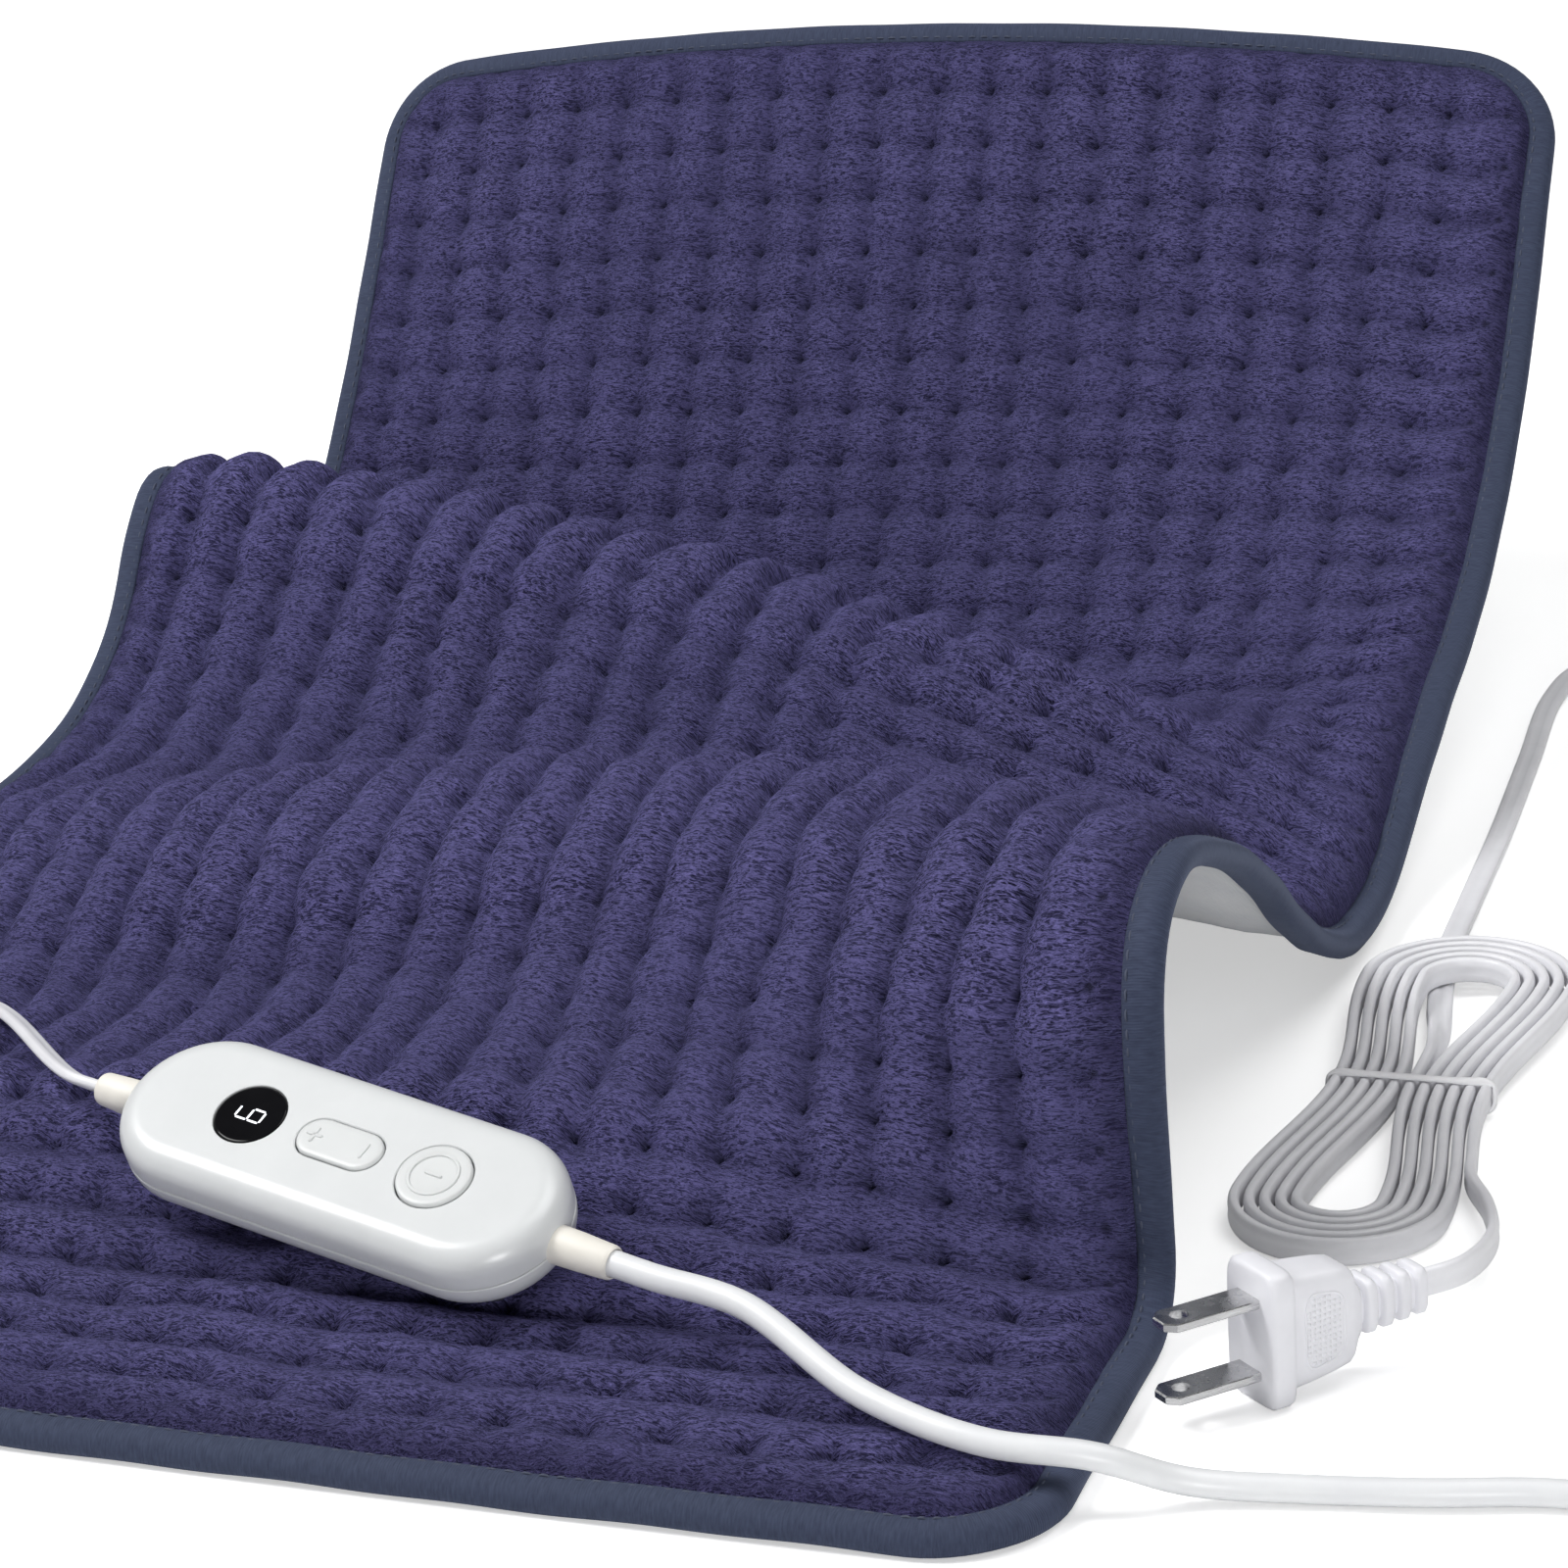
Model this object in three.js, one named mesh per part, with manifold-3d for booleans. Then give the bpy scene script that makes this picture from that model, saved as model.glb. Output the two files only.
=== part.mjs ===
// Heating pad with controller: a quilted plush pad lying in folds, a key controller resting on it,
// the lead that joins them, and a hanked mains cord with a two-blade plug.
// Millimetres, +Z up, floor at z 0, near edge of the pad towards -Y.
import * as THREE from 'three';
import { mergeVertices } from 'three/addons/utils/BufferGeometryUtils.js';
import Module from 'manifold-3d';

const wasm = await Module();
wasm.setup();

// Clearances
const REST_GAP = 0.3;
const KEY_GAP = 0.4;
const BINDING_GAP = 0.6;
const PIN_GAP = 0.15;
const HANK_STRAND_GAP = 0.75;
const CORD_FLOOR_GAP = 0.3;
const LEAST_HANK_GAP = 0.4;

// Pad outline
const PAD_WIDTH = 305;
const PAD_LENGTH = 610;
const PAD_CORNER_RADIUS = 22;
const FAR_EDGE_SHIFT = -40;
const RIGHT_SIDE_SETBACK = 5;

// Folds of the pad as [distance from the near edge, slope in degrees] down its left, middle and right
const LEFT_FOLDS = [[0, 0], [60, 3], [110, -2], [150, -3], [200, 17], [240, 2], [270, 5], [305, 26],
  [335, 55], [352, 40], [372, -62], [414, -52], [444, -2], [458, 28], [478, 40], [520, 48], [610, 54]];
const MIDDLE_FOLDS = [[0, 0], [50, 0], [61, 22], [92, 24], [110, 3], [128, 1], [146, 14], [165, 43],
  [195, 10], [215, -16], [235, -42], [270, -10], [300, 25], [335, 27], [355, 0], [372, -50], [408, -56],
  [424, 2], [434, 34], [468, 43], [540, 56], [610, 54]];
const RIGHT_FOLDS = [[0, 0], [75, 0], [98, 85], [135, 82], [155, 28], [175, -18], [210, -25], [250, -36],
  [300, -25], [325, -8], [370, 20], [440, 14], [510, 37], [560, 48], [610, 46]];

// Pad layers, from the floor up
const QUILT_ROWS = 26;
const QUILT_COLUMNS = 12;
const QUILT_MARGIN = 20;
const SEAM_INSET = 7;
const BOTTOM_COVER_THICKNESS = 0.8;
const CARRIER_THICKNESS = 0.6;
const HEATER_DIAMETER = 1.6;
const HEATER_SIDES = 5;
const HEATER_BEND_RADIUS = 8;
const TOP_COVER_THICKNESS = 1.7;
const TOP_COVER_EDGE_THICKNESS = 1.6;
const PILLOW_RISE = 3.6;
const BINDING_TAPE = 0.9;
const BINDING_WIDTH = 6;
const BINDING_ROUND = 1.2;
const SPLICE_LENGTH = 16;
const SPLICE_WIDTH = 14;
const CUTOUT_LENGTH = 16;
const CUTOUT_WIDTH = 6;

// Controller housing, in its own frame: x along it towards the lead, z up from its base
const HOUSING_LENGTH = 90;
const HOUSING_WIDTH = 32;
const HOUSING_HEIGHT = 14.2;
const HOUSING_ROUND = 4;
const HOUSING_WALL = 1.8;
const CAVITY_ROUND = 2.4;
const PARTING_HEIGHT = 7;
const CONTROLLER_X = 28.2;
const CONTROLLER_Y = 68.8;
const CONTROLLER_TILT = 25;
const CONTROLLER_HEADING = -13.5;

// Keys and window
const WINDOW_X = -18.5;
const WINDOW_RADIUS = 6.5;
const WINDOW_BELOW_TOP = 0.1;
const FLANGE_THICKNESS = 0.8;
const FLANGE_WIDTH = 1.3;
const ROCKER_X = 1;
const ROCKER_LENGTH = 17;
const ROCKER_WIDTH = 8.2;
const ROCKER_PLATE = 2.4;
const ROCKER_PROUD = 0.4;
const ROCKER_SWING = 3;
const ROCKER_PIN_RADIUS = 1;
const ROCKER_PIN_HEIGHT = 10.2;
const ROCKER_RIB_WIDTH = 7.2;
const ROCKER_RIB_LENGTH = 4.4;
const ROCKER_FOOT_X = 6;
const ROCKER_FOOT_RADIUS = 1.6;
const PIN_LUG_THICKNESS = 2;
const PIN_LUG_LENGTH = 5;
const PIN_LUG_FROM_OPENING = 0.8;
const POWER_X = 21;
const POWER_RADIUS = 6.7;
const POWER_PROUD = 0.6;
const POWER_TRAVEL = 0.6;
const POWER_STEM_RADIUS = 1.75;

// Board and what stands on it
const BOARD_END_ROOM = 13.5;
const BOARD_LENGTH = HOUSING_LENGTH - 2 * BOARD_END_ROOM;
const BOARD_WIDTH = 23;
const BOARD_THICKNESS = 1.6;
const BOARD_UNDERSIDE = 2.5;
const STANDOFF_FROM_END = 4;
const STANDOFF_Y = 9;
const STANDOFF_RADIUS = 2;
const SWITCH_SIDE = 6;
const SWITCH_HEIGHT = 2.8;
const SWITCH_STEM_RADIUS = 1.6;
const SWITCH_STEM_PROUD = 1.6;
const SWITCH_STEM_DEPTH = 1.4;
const SWITCH_BORE_DEPTH = 2.2;
const DISPLAY_LENGTH = 10;
const DISPLAY_WIDTH = 9;
const CHIP_LENGTH = 8;
const CHIP_WIDTH = 6;
const CHIP_HEIGHT = 1.4;
const CHIP_Y = -8;
const FUSE_RADIUS = 2;
const FUSE_LENGTH = 12;
const FUSE_X = 10;
const FUSE_Y = 8.5;
const FILM_CAPACITOR_LENGTH = 6;
const FILM_CAPACITOR_WIDTH = 13;
const FILM_CAPACITOR_HEIGHT = 5.4;
const FILM_CAPACITOR_FROM_END = 3.5;
const FILM_CAPACITOR_Y = -3.5;
const TRIAC_LENGTH = 6;
const TRIAC_WIDTH = 4.5;
const TRIAC_HEIGHT = 5;
const TRIAC_Y = 8;
const ELECTROLYTIC_RADIUS = 3;
const ELECTROLYTIC_HEIGHT = 5.4;
const ELECTROLYTIC_X = 12.5;
const ELECTROLYTIC_Y = -7.5;

// Housing screws
const SCREW_FROM_END = 9.2;
const SCREW_Y = 8.5;
const SCREW_SHANK_RADIUS = 1;
const SCREW_HEAD_RADIUS = 2.2;
const SCREW_HEAD_HEIGHT = 1.5;
const SCREW_HEAD_SUNK = 0.4;
const SCREW_LENGTH = 9.8;
const SCREW_HOLE_GAP = 0.3;
const BOSS_WALL = 1;

// Sleeves where the cords leave the housing
const SLEEVE_RADIUS = 3.4;
const SLEEVE_END_RADIUS = 2.9;
const SLEEVE_COLLAR_RADIUS = 4.4;
const SLEEVE_COLLAR_LENGTH = 2;
const SLEEVE_COLLAR_FROM_END = 4.2;
const MAINS_SLEEVE_SHOWING = 9;
const LEAD_SLEEVE_SHOWING = 11;

// Pad lead and the gland where it enters the pad; a cord clears the pad as far round as its bump reach
const CORD_BUMP_REACH = 15;
const LEAD_DIAMETER = 4.6;
const GLAND_U = -100;
const GLAND_WIDTH = 16;
const GLAND_HEIGHT = 7;
const GLAND_LENGTH = 24;
const GLAND_END_DIAMETER = 6;
const GLAND_SIDES = 12;

// Flat twin mains cord, its hank and the tie around it
const CORD_WIDTH = 5;
const CORD_THICKNESS = 2;
const HANK_X = 178.5;
const HANK_Y = 194.5;
const HANK_HEADING = 2.4;
const HANK_LENGTH = 145;
const HANK_WIDTH = 43;
const HANK_WAIST_DRAW = 6;
const HANK_TURNS = 5;
const HANK_FAR_LIFT = 2.9;
const HANK_TAIL_Y = 10;
const HANK_ENTRY_Y = -26;
const TIE_WIDTH = 2.2;
const TIE_THICKNESS = 0.8;

// Plug, standing on its narrow edge; its own x runs from the blades back to the cord
const PLUG_X = 186;
const PLUG_Y = 71;
const PLUG_HEADING = 51;
const PLUG_FACE_HEIGHT = 24;
const PLUG_FACE_DEPTH = 14;
const PLUG_FLANGE_LENGTH = 5;
const PLUG_BODY_LENGTH = 14;
const PLUG_BODY_HEIGHT = 20;
const PLUG_BODY_DEPTH = 11;
const PLUG_TAIL_HEIGHT = 11;
const PLUG_TAIL_DEPTH = 9;
const PLUG_RIBS = 4;
const PLUG_RIB_PITCH = 3.4;
const PLUG_RIB_HEIGHT = 8;
const PLUG_RIB_DEPTH = 6.8;
const PLUG_GROOVE_HEIGHT = 6;
const PLUG_GROOVE_DEPTH = 4.8;
const PLUG_SIDES = 12;
const BLADE_LENGTH = 17;
const BLADE_WIDTH = 6.35;
const BLADE_THICKNESS = 1.5;
const BLADE_SPACING = 12.7;
const BLADE_TIP = 1.4;
const BLADE_HOLE_RADIUS = 1.6;
const BLADE_HOLE_FROM_TIP = 4;

// Colours
const NAVY = 0x232c66;
const SLATE = 0x5b6884;
const BACKING_WHITE = 0xe9e8e6;
const HOUSING_WHITE = 0xeceef2;
const CREAM = 0xe6e2da;
const BLACK = 0x0b0b0d;
const STEEL = 0xb9bcc0;
const BRASS = 0xc39a52;
const BOARD_GREEN = 0x1f5a35;

const object = new THREE.Group();
object.name = 'heating_pad_with_controller';

function finishMaterial(color, roughness, metalness = 0) {
  return new THREE.MeshStandardMaterial({ color, roughness, metalness });
}

function addPart(name, geometry, color, roughness, metalness) {
  const mesh = new THREE.Mesh(geometry, finishMaterial(color, roughness, metalness));
  mesh.name = name;
  object.add(mesh);
  return mesh;
}

// A geometry from vertices and faces, turned right side out
function closedGeometry(positions, faces) {
  let volume = 0;
  const corner = (k) => new THREE.Vector3(positions[3 * k], positions[3 * k + 1], positions[3 * k + 2]);
  for (let f = 0; f < faces.length; f += 3) {
    volume += corner(faces[f]).dot(corner(faces[f + 1]).cross(corner(faces[f + 2])));
  }
  const index = volume > 0 ? faces : faces.slice().reverse();
  const geometry = new THREE.BufferGeometry();
  geometry.setAttribute('position', new THREE.Float32BufferAttribute(positions, 3));
  geometry.setIndex(index);
  geometry.computeVertexNormals();
  return geometry;
}

// Position-only copy with shared vertices and no collapsed faces
function welded(geometry) {
  const plain = new THREE.BufferGeometry();
  plain.setAttribute('position', geometry.getAttribute('position').clone());
  if (geometry.index) plain.setIndex(geometry.index.clone());
  const merged = mergeVertices(plain, 1e-4);
  const kept = [];
  const index = merged.index.array;
  for (let f = 0; f < index.length; f += 3) {
    const [a, b, c] = [index[f], index[f + 1], index[f + 2]];
    if (a !== b && b !== c && c !== a) kept.push(a, b, c);
  }
  merged.setIndex(kept);
  return merged;
}

function toSolid(geometry) {
  const merged = welded(geometry);
  return new wasm.Manifold(new wasm.Mesh({
    numProp: 3,
    vertProperties: new Float32Array(merged.getAttribute('position').array),
    triVerts: new Uint32Array(merged.index.array),
  }));
}

function toGeometry(solid) {
  const mesh = solid.getMesh();
  const geometry = new THREE.BufferGeometry();
  geometry.setAttribute('position', new THREE.BufferAttribute(Float32Array.from(mesh.vertProperties), 3));
  geometry.setIndex(new THREE.BufferAttribute(Uint32Array.from(mesh.triVerts), 1));
  geometry.computeVertexNormals();
  return geometry;
}

// A skin through rings of points, closed with flat ends or joined back to its start
function skinRings(rings, joined) {
  const sides = rings[0].length;
  const positions = rings.flat().flatMap((p) => [p.x, p.y, p.z]);
  const faces = [];
  const spans = joined ? rings.length : rings.length - 1;
  for (let r = 0; r < spans; r++) {
    const next = (r + 1) % rings.length;
    for (let k = 0; k < sides; k++) {
      const after = (k + 1) % sides;
      const [a, b] = [r * sides + k, r * sides + after];
      const [c, d] = [next * sides + after, next * sides + k];
      faces.push(a, b, c, a, c, d);
    }
  }
  const last = (rings.length - 1) * sides;
  for (let k = 1; !joined && k < sides - 1; k++) {
    faces.push(0, k + 1, k, last, last + k, last + k + 1);
  }
  return closedGeometry(positions, faces);
}

function box(sizeX, sizeY, sizeZ, x, y, lowZ) {
  return new THREE.BoxGeometry(sizeX, sizeY, sizeZ).translate(x, y, lowZ + sizeZ / 2);
}

function post(radius, lowZ, highZ, x, y, sides = 12) {
  return new THREE.CylinderGeometry(radius, radius, highZ - lowZ, sides)
    .rotateX(Math.PI / 2).translate(x, y, (lowZ + highZ) / 2);
}

function rodAlongX(radius, lowX, highX, y, z, sides = 16) {
  return new THREE.CylinderGeometry(radius, radius, highX - lowX, sides)
    .rotateZ(Math.PI / 2).translate((lowX + highX) / 2, y, z);
}

function rodAlongY(radius, lowY, highY, x, z, sides = 16) {
  return new THREE.CylinderGeometry(radius, radius, highY - lowY, sides)
    .translate(x, (lowY + highY) / 2, z);
}

// A turned solid about the z axis from [radius, height] pairs, first and last on the axis
function turned(profile, x, y, sides = 20) {
  const points = profile.map(([radius, height]) => new THREE.Vector2(radius, height));
  return welded(new THREE.LatheGeometry(points, sides).rotateX(Math.PI / 2).translate(x, y, 0));
}

function pillShape(length, width) {
  const radius = width / 2;
  const straight = length / 2 - radius;
  const shape = new THREE.Shape();
  shape.moveTo(-straight, -radius);
  shape.lineTo(straight, -radius);
  shape.absarc(straight, 0, radius, -Math.PI / 2, Math.PI / 2, false);
  shape.lineTo(-straight, radius);
  shape.absarc(-straight, 0, radius, Math.PI / 2, 1.5 * Math.PI, false);
  return shape;
}

function pillPrism(length, width, lowZ, highZ, x = 0) {
  const settings = { depth: highZ - lowZ, bevelEnabled: false, curveSegments: 8 };
  return new THREE.ExtrudeGeometry(pillShape(length, width), settings).translate(x, 0, lowZ);
}

function roundedPill(length, width, lowZ, highZ, round) {
  const settings = {
    depth: highZ - lowZ - 2 * round, curveSegments: 8,
    bevelEnabled: true, bevelThickness: round, bevelSize: round, bevelOffset: -round, bevelSegments: 3,
  };
  return new THREE.ExtrudeGeometry(pillShape(length, width), settings).translate(0, 0, lowZ + round);
}

// Pad surface: the folded underside, its grid and points at a height above it

// The listed distances are stretched to the pad's length
function foldedRun(folds) {
  const run = [{ y: 0, z: 0 }];
  const listed = folds.at(-1)[0] / PAD_LENGTH;
  let [y, z] = [0, 0];
  for (let s = 0; s < PAD_LENGTH; s++) {
    const place = Math.min(s + 0.5, PAD_LENGTH - 0.5) * listed;
    const after = folds.findIndex(([at]) => at > place);
    const [[fromAt, fromSlope], [toAt, toSlope]] = [folds[after - 1], folds[after]];
    const slope = THREE.MathUtils.degToRad(
      THREE.MathUtils.mapLinear(place, fromAt, toAt, fromSlope, toSlope));
    y += Math.cos(slope);
    z += Math.sin(slope);
    run.push({ y, z });
  }
  return run;
}

const leftRun = foldedRun(LEFT_FOLDS);
const middleRun = foldedRun(MIDDLE_FOLDS);
const rightRun = foldedRun(RIGHT_FOLDS);

function alongRun(run, s) {
  const at = THREE.MathUtils.clamp(Math.floor(s), 0, run.length - 2);
  const part = s - at;
  return {
    y: run[at].y + (run[at + 1].y - run[at].y) * part,
    z: run[at].z + (run[at + 1].z - run[at].z) * part,
  };
}

// u runs across the pad from its middle, s from its near edge along the cloth
function foldPoint(u, s) {
  const across = u / PAD_WIDTH + 0.5;
  const share = [(1 - across) * (1 - 2 * across), 4 * across * (1 - across), across * (2 * across - 1)];
  const sides = [leftRun, middleRun, rightRun].map((run) => alongRun(run, s));
  sides[2].y += RIGHT_SIDE_SETBACK;
  const mixed = (axis) => sides.reduce((sum, side, k) => sum + share[k] * side[axis], 0);
  return new THREE.Vector3(u + FAR_EDGE_SHIFT * (s / PAD_LENGTH - 0.5), mixed('y'), mixed('z'));
}

function foldNormal(u, s) {
  const across = foldPoint(u + 2, s).sub(foldPoint(u - 2, s));
  const along = foldPoint(u, Math.min(s + 2, PAD_LENGTH)).sub(foldPoint(u, Math.max(s - 2, 0)));
  return across.cross(along).normalize();
}

// Distances of the grid lines from one edge: the edge, the seam, then the quilting
function gridLines(size, count) {
  const lines = [0, SEAM_INSET];
  for (let k = 0; k < count; k++) {
    lines.push(QUILT_MARGIN + (size - 2 * QUILT_MARGIN) * k / (count - 1));
  }
  lines.push(size - SEAM_INSET, size);
  return lines;
}

const columnLines = gridLines(PAD_WIDTH, QUILT_COLUMNS);
const rowLines = gridLines(PAD_LENGTH, QUILT_ROWS);
const LAST_COLUMN = columnLines.length - 1;
const LAST_ROW = rowLines.length - 1;
const BINDING_DROP = BINDING_TAPE + BINDING_GAP;

const fromSide = (i) => Math.min(i, LAST_COLUMN - i);
const fromEnd = (j) => Math.min(j, LAST_ROW - j);

// The pad's edge is held up by the binding under it
const baseNodes = columnLines.map((line, i) => rowLines.map((s, j) => {
  const u = line - PAD_WIDTH / 2;
  const point = foldPoint(u, s);
  const atEdge = fromSide(i) < 2 || fromEnd(j) < 2 || (fromSide(i) === 2 && fromEnd(j) === 2);
  point.z = Math.max(0, point.z) + (atEdge ? BINDING_DROP : 0);
  return { point, normal: foldNormal(u, s) };
}));

function cellOf(lines, at) {
  const above = lines.findIndex((line) => line > at);
  const cell = above < 0 ? lines.length - 2 : Math.max(0, above - 1);
  return [cell, (at - lines[cell]) / (lines[cell + 1] - lines[cell])];
}

// The point of the flat facet at (u, s), raised by height along the facet's mixed normals
function onPad(u, s, height) {
  const [i, partU] = cellOf(columnLines, u + PAD_WIDTH / 2);
  const [j, partS] = cellOf(rowLines, s);
  const middle = partU >= partS ? baseNodes[i + 1][j] : baseNodes[i][j + 1];
  const [more, less] = [Math.max(partU, partS), Math.min(partU, partS)];
  const place = new THREE.Vector3();
  for (const [node, share] of [[baseNodes[i][j], 1 - more], [middle, more - less],
    [baseNodes[i + 1][j + 1], less]]) {
    place.addScaledVector(node.point, share).addScaledVector(node.normal, share * height);
  }
  return place;
}

// Where grid node (i, j) lies when its ring is drawn in from the pad's rounded outline
function ringPlace(i, j, inset) {
  const [column, row] = [fromSide(i), fromEnd(j)];
  let fromU = Math.min(columnLines[i], PAD_WIDTH - columnLines[i]);
  let fromS = Math.min(rowLines[j], PAD_LENGTH - rowLines[j]);
  if (column < 2 && row < 2) {
    const angle = Math.PI / 4 + Math.PI / 8 * (column - row);
    fromU = PAD_CORNER_RADIUS - (PAD_CORNER_RADIUS - inset) * Math.cos(angle);
    fromS = PAD_CORNER_RADIUS - (PAD_CORNER_RADIUS - inset) * Math.sin(angle);
  } else if (column < 2) {
    fromU = inset;
  } else if (row < 2) {
    fromS = inset;
  }
  const u = i < LAST_COLUMN / 2 ? fromU - PAD_WIDTH / 2 : PAD_WIDTH / 2 - fromU;
  return [u, j < LAST_ROW / 2 ? fromS : PAD_LENGTH - fromS];
}

const COVER_INSET = BINDING_TAPE + REST_GAP;

function coverPlace(i, j) {
  return ringPlace(i, j, Math.min(fromSide(i), fromEnd(j)) === 0 ? COVER_INSET : SEAM_INSET);
}

// A closed sheet over grid nodes inset by `skip` lines, with a raised middle in each cell if asked for
function padSheet(skip, low, high, pillowHeight) {
  const positions = [];
  const faces = [];
  const vertex = (u, s, height) => {
    const p = onPad(u, s, height);
    return positions.push(p.x, p.y, p.z) / 3 - 1;
  };
  const [endI, endJ] = [LAST_COLUMN - skip, LAST_ROW - skip];
  const under = [];
  const over = [];
  for (let i = skip; i <= endI; i++) {
    under[i] = [];
    over[i] = [];
    for (let j = skip; j <= endJ; j++) {
      const [u, s] = coverPlace(i, j);
      const inner = Math.min(fromSide(i), fromEnd(j)) >= 2;
      under[i][j] = vertex(u, s, low(inner));
      over[i][j] = vertex(u, s, high(inner));
    }
  }
  const quad = (a, b, c, d) => faces.push(a, b, c, a, c, d);
  for (let i = skip; i < endI; i++) {
    for (let j = skip; j < endJ; j++) {
      quad(under[i][j], under[i][j + 1], under[i + 1][j + 1], under[i + 1][j]);
      const rim = [over[i][j], over[i + 1][j], over[i + 1][j + 1], over[i][j + 1]];
      const quilted = pillowHeight && Math.min(fromSide(i), fromSide(i + 1), fromEnd(j), fromEnd(j + 1)) >= 2;
      if (quilted) {
        const u = (columnLines[i] + columnLines[i + 1] - PAD_WIDTH) / 2;
        const middle = vertex(u, (rowLines[j] + rowLines[j + 1]) / 2, pillowHeight);
        rim.forEach((node, k) => faces.push(node, rim[(k + 1) % 4], middle));
      } else {
        quad(...rim);
      }
    }
  }
  for (let i = skip; i < endI; i++) {
    quad(under[i][skip], under[i + 1][skip], over[i + 1][skip], over[i][skip]);
    quad(under[i + 1][endJ], under[i][endJ], over[i][endJ], over[i + 1][endJ]);
  }
  for (let j = skip; j < endJ; j++) {
    quad(under[endI][j], under[endI][j + 1], over[endI][j + 1], over[endI][j]);
    quad(under[skip][j + 1], under[skip][j], over[skip][j], over[skip][j + 1]);
  }
  return closedGeometry(positions, faces);
}

// Heights of the layers above the folded underside
const CARRIER_LOW = BOTTOM_COVER_THICKNESS + REST_GAP;
const CARRIER_HIGH = CARRIER_LOW + CARRIER_THICKNESS;
const HEATER_LOW = CARRIER_HIGH + REST_GAP;
const HEATER_HIGH = HEATER_LOW + HEATER_DIAMETER;
const COVER_LOW = HEATER_HIGH + REST_GAP;
const COVER_HIGH = COVER_LOW + TOP_COVER_THICKNESS;
const PILLOW_HIGH = COVER_HIGH + PILLOW_RISE;
const COVER_EDGE_HIGH = CARRIER_LOW + TOP_COVER_EDGE_THICKNESS;

addPart('bottom_cover', padSheet(0, () => 0, () => BOTTOM_COVER_THICKNESS), BACKING_WHITE, 0.95);
addPart('heater_carrier', padSheet(2, () => CARRIER_LOW, () => CARRIER_HIGH), BACKING_WHITE, 0.95);
const topCover = addPart('top_cover', padSheet(0, (inner) => (inner ? COVER_LOW : CARRIER_LOW),
  (inner) => (inner ? COVER_HIGH : COVER_EDGE_HIGH), PILLOW_HIGH), NAVY, 0.95);

// Edge binding: a tape folded round the covers' edge, swept round the rounded outline
const SLOT_LOW = -BINDING_GAP;
const SLOT_HIGH = COVER_EDGE_HIGH + BINDING_GAP;
const TAPE_LOW = SLOT_LOW - BINDING_TAPE;
const TAPE_HIGH = SLOT_HIGH + BINDING_TAPE;
const bindingSection = [
  [BINDING_WIDTH, TAPE_LOW], [BINDING_WIDTH, SLOT_LOW], [BINDING_TAPE, SLOT_LOW], [BINDING_TAPE, SLOT_HIGH],
  [BINDING_WIDTH, SLOT_HIGH], [BINDING_WIDTH, TAPE_HIGH], [BINDING_ROUND, TAPE_HIGH],
  [0, TAPE_HIGH - BINDING_ROUND], [0, TAPE_LOW + BINDING_ROUND], [BINDING_ROUND, TAPE_LOW],
];
const edgeNodes = [];
for (let i = 0; i < LAST_COLUMN; i++) edgeNodes.push([i, 0]);
for (let j = 0; j < LAST_ROW; j++) edgeNodes.push([LAST_COLUMN, j]);
for (let i = LAST_COLUMN; i > 0; i--) edgeNodes.push([i, LAST_ROW]);
for (let j = LAST_ROW; j > 0; j--) edgeNodes.push([0, j]);
const bindingRings = edgeNodes.map(([i, j]) => bindingSection.map(([inset, height]) => {
  const [u, s] = ringPlace(i, j, inset);
  return onPad(u, s, height);
}));
const binding = addPart('edge_binding', skinRings(bindingRings, true), SLATE, 0.9);

// Heating wire: passes along the quilting columns, with a return along the near edge
const passColumns = [3, 5, 7, 8, 10, 12].map((i) => columnLines[i] - PAD_WIDTH / 2);
const FAR_TURN = rowLines[LAST_ROW - 3];
const NEAR_TURN = rowLines[4];
const RETURN_RUN = rowLines[2] + SPLICE_WIDTH / 2 + REST_GAP;
const SPLICE_S = RETURN_RUN;
const SPLICE_U = passColumns[0];

const heaterCorners = [[passColumns[0], SPLICE_S + SPLICE_WIDTH / 2 + REST_GAP]];
passColumns.forEach((u, k) => {
  if (k > 0) heaterCorners.push([u, k % 2 ? FAR_TURN : NEAR_TURN]);
  if (k < passColumns.length - 1) heaterCorners.push([u, k % 2 ? NEAR_TURN : FAR_TURN]);
});
heaterCorners.push([passColumns.at(-1), RETURN_RUN], [SPLICE_U + SPLICE_LENGTH / 2 + REST_GAP, RETURN_RUN]);

// Turns corners into short arcs and adds a point wherever a straight crosses a grid line
function roundedPath(corners, radius) {
  const path = [corners[0]];
  const straightTo = (end) => {
    const start = path.at(-1);
    const alongS = Math.abs(end[1] - start[1]) > Math.abs(end[0] - start[0]);
    const lines = alongS ? rowLines : columnLines.map((line) => line - PAD_WIDTH / 2);
    const axis = alongS ? 1 : 0;
    const between = lines.filter((line) => (line - start[axis]) * (line - end[axis]) < -1);
    if (end[axis] < start[axis]) between.reverse();
    between.forEach((line) => path.push(alongS ? [start[0], line] : [line, start[1]]));
    path.push(end);
  };
  for (let k = 1; k < corners.length - 1; k++) {
    const [before, at, after] = corners.slice(k - 1, k + 2).map((c) => new THREE.Vector2(...c));
    const inward = before.clone().sub(at).normalize();
    const outward = after.clone().sub(at).normalize();
    const centre = at.clone().addScaledVector(inward, radius).addScaledVector(outward, radius);
    straightTo(at.clone().addScaledVector(inward, radius).toArray());
    for (const angle of [30, 60, 90]) {
      const turn = THREE.MathUtils.degToRad(angle);
      const p = centre.clone().addScaledVector(outward, -radius * Math.cos(turn));
      path.push(p.addScaledVector(inward, -radius * Math.sin(turn)).toArray());
    }
  }
  straightTo(corners.at(-1));
  return path;
}

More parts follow.
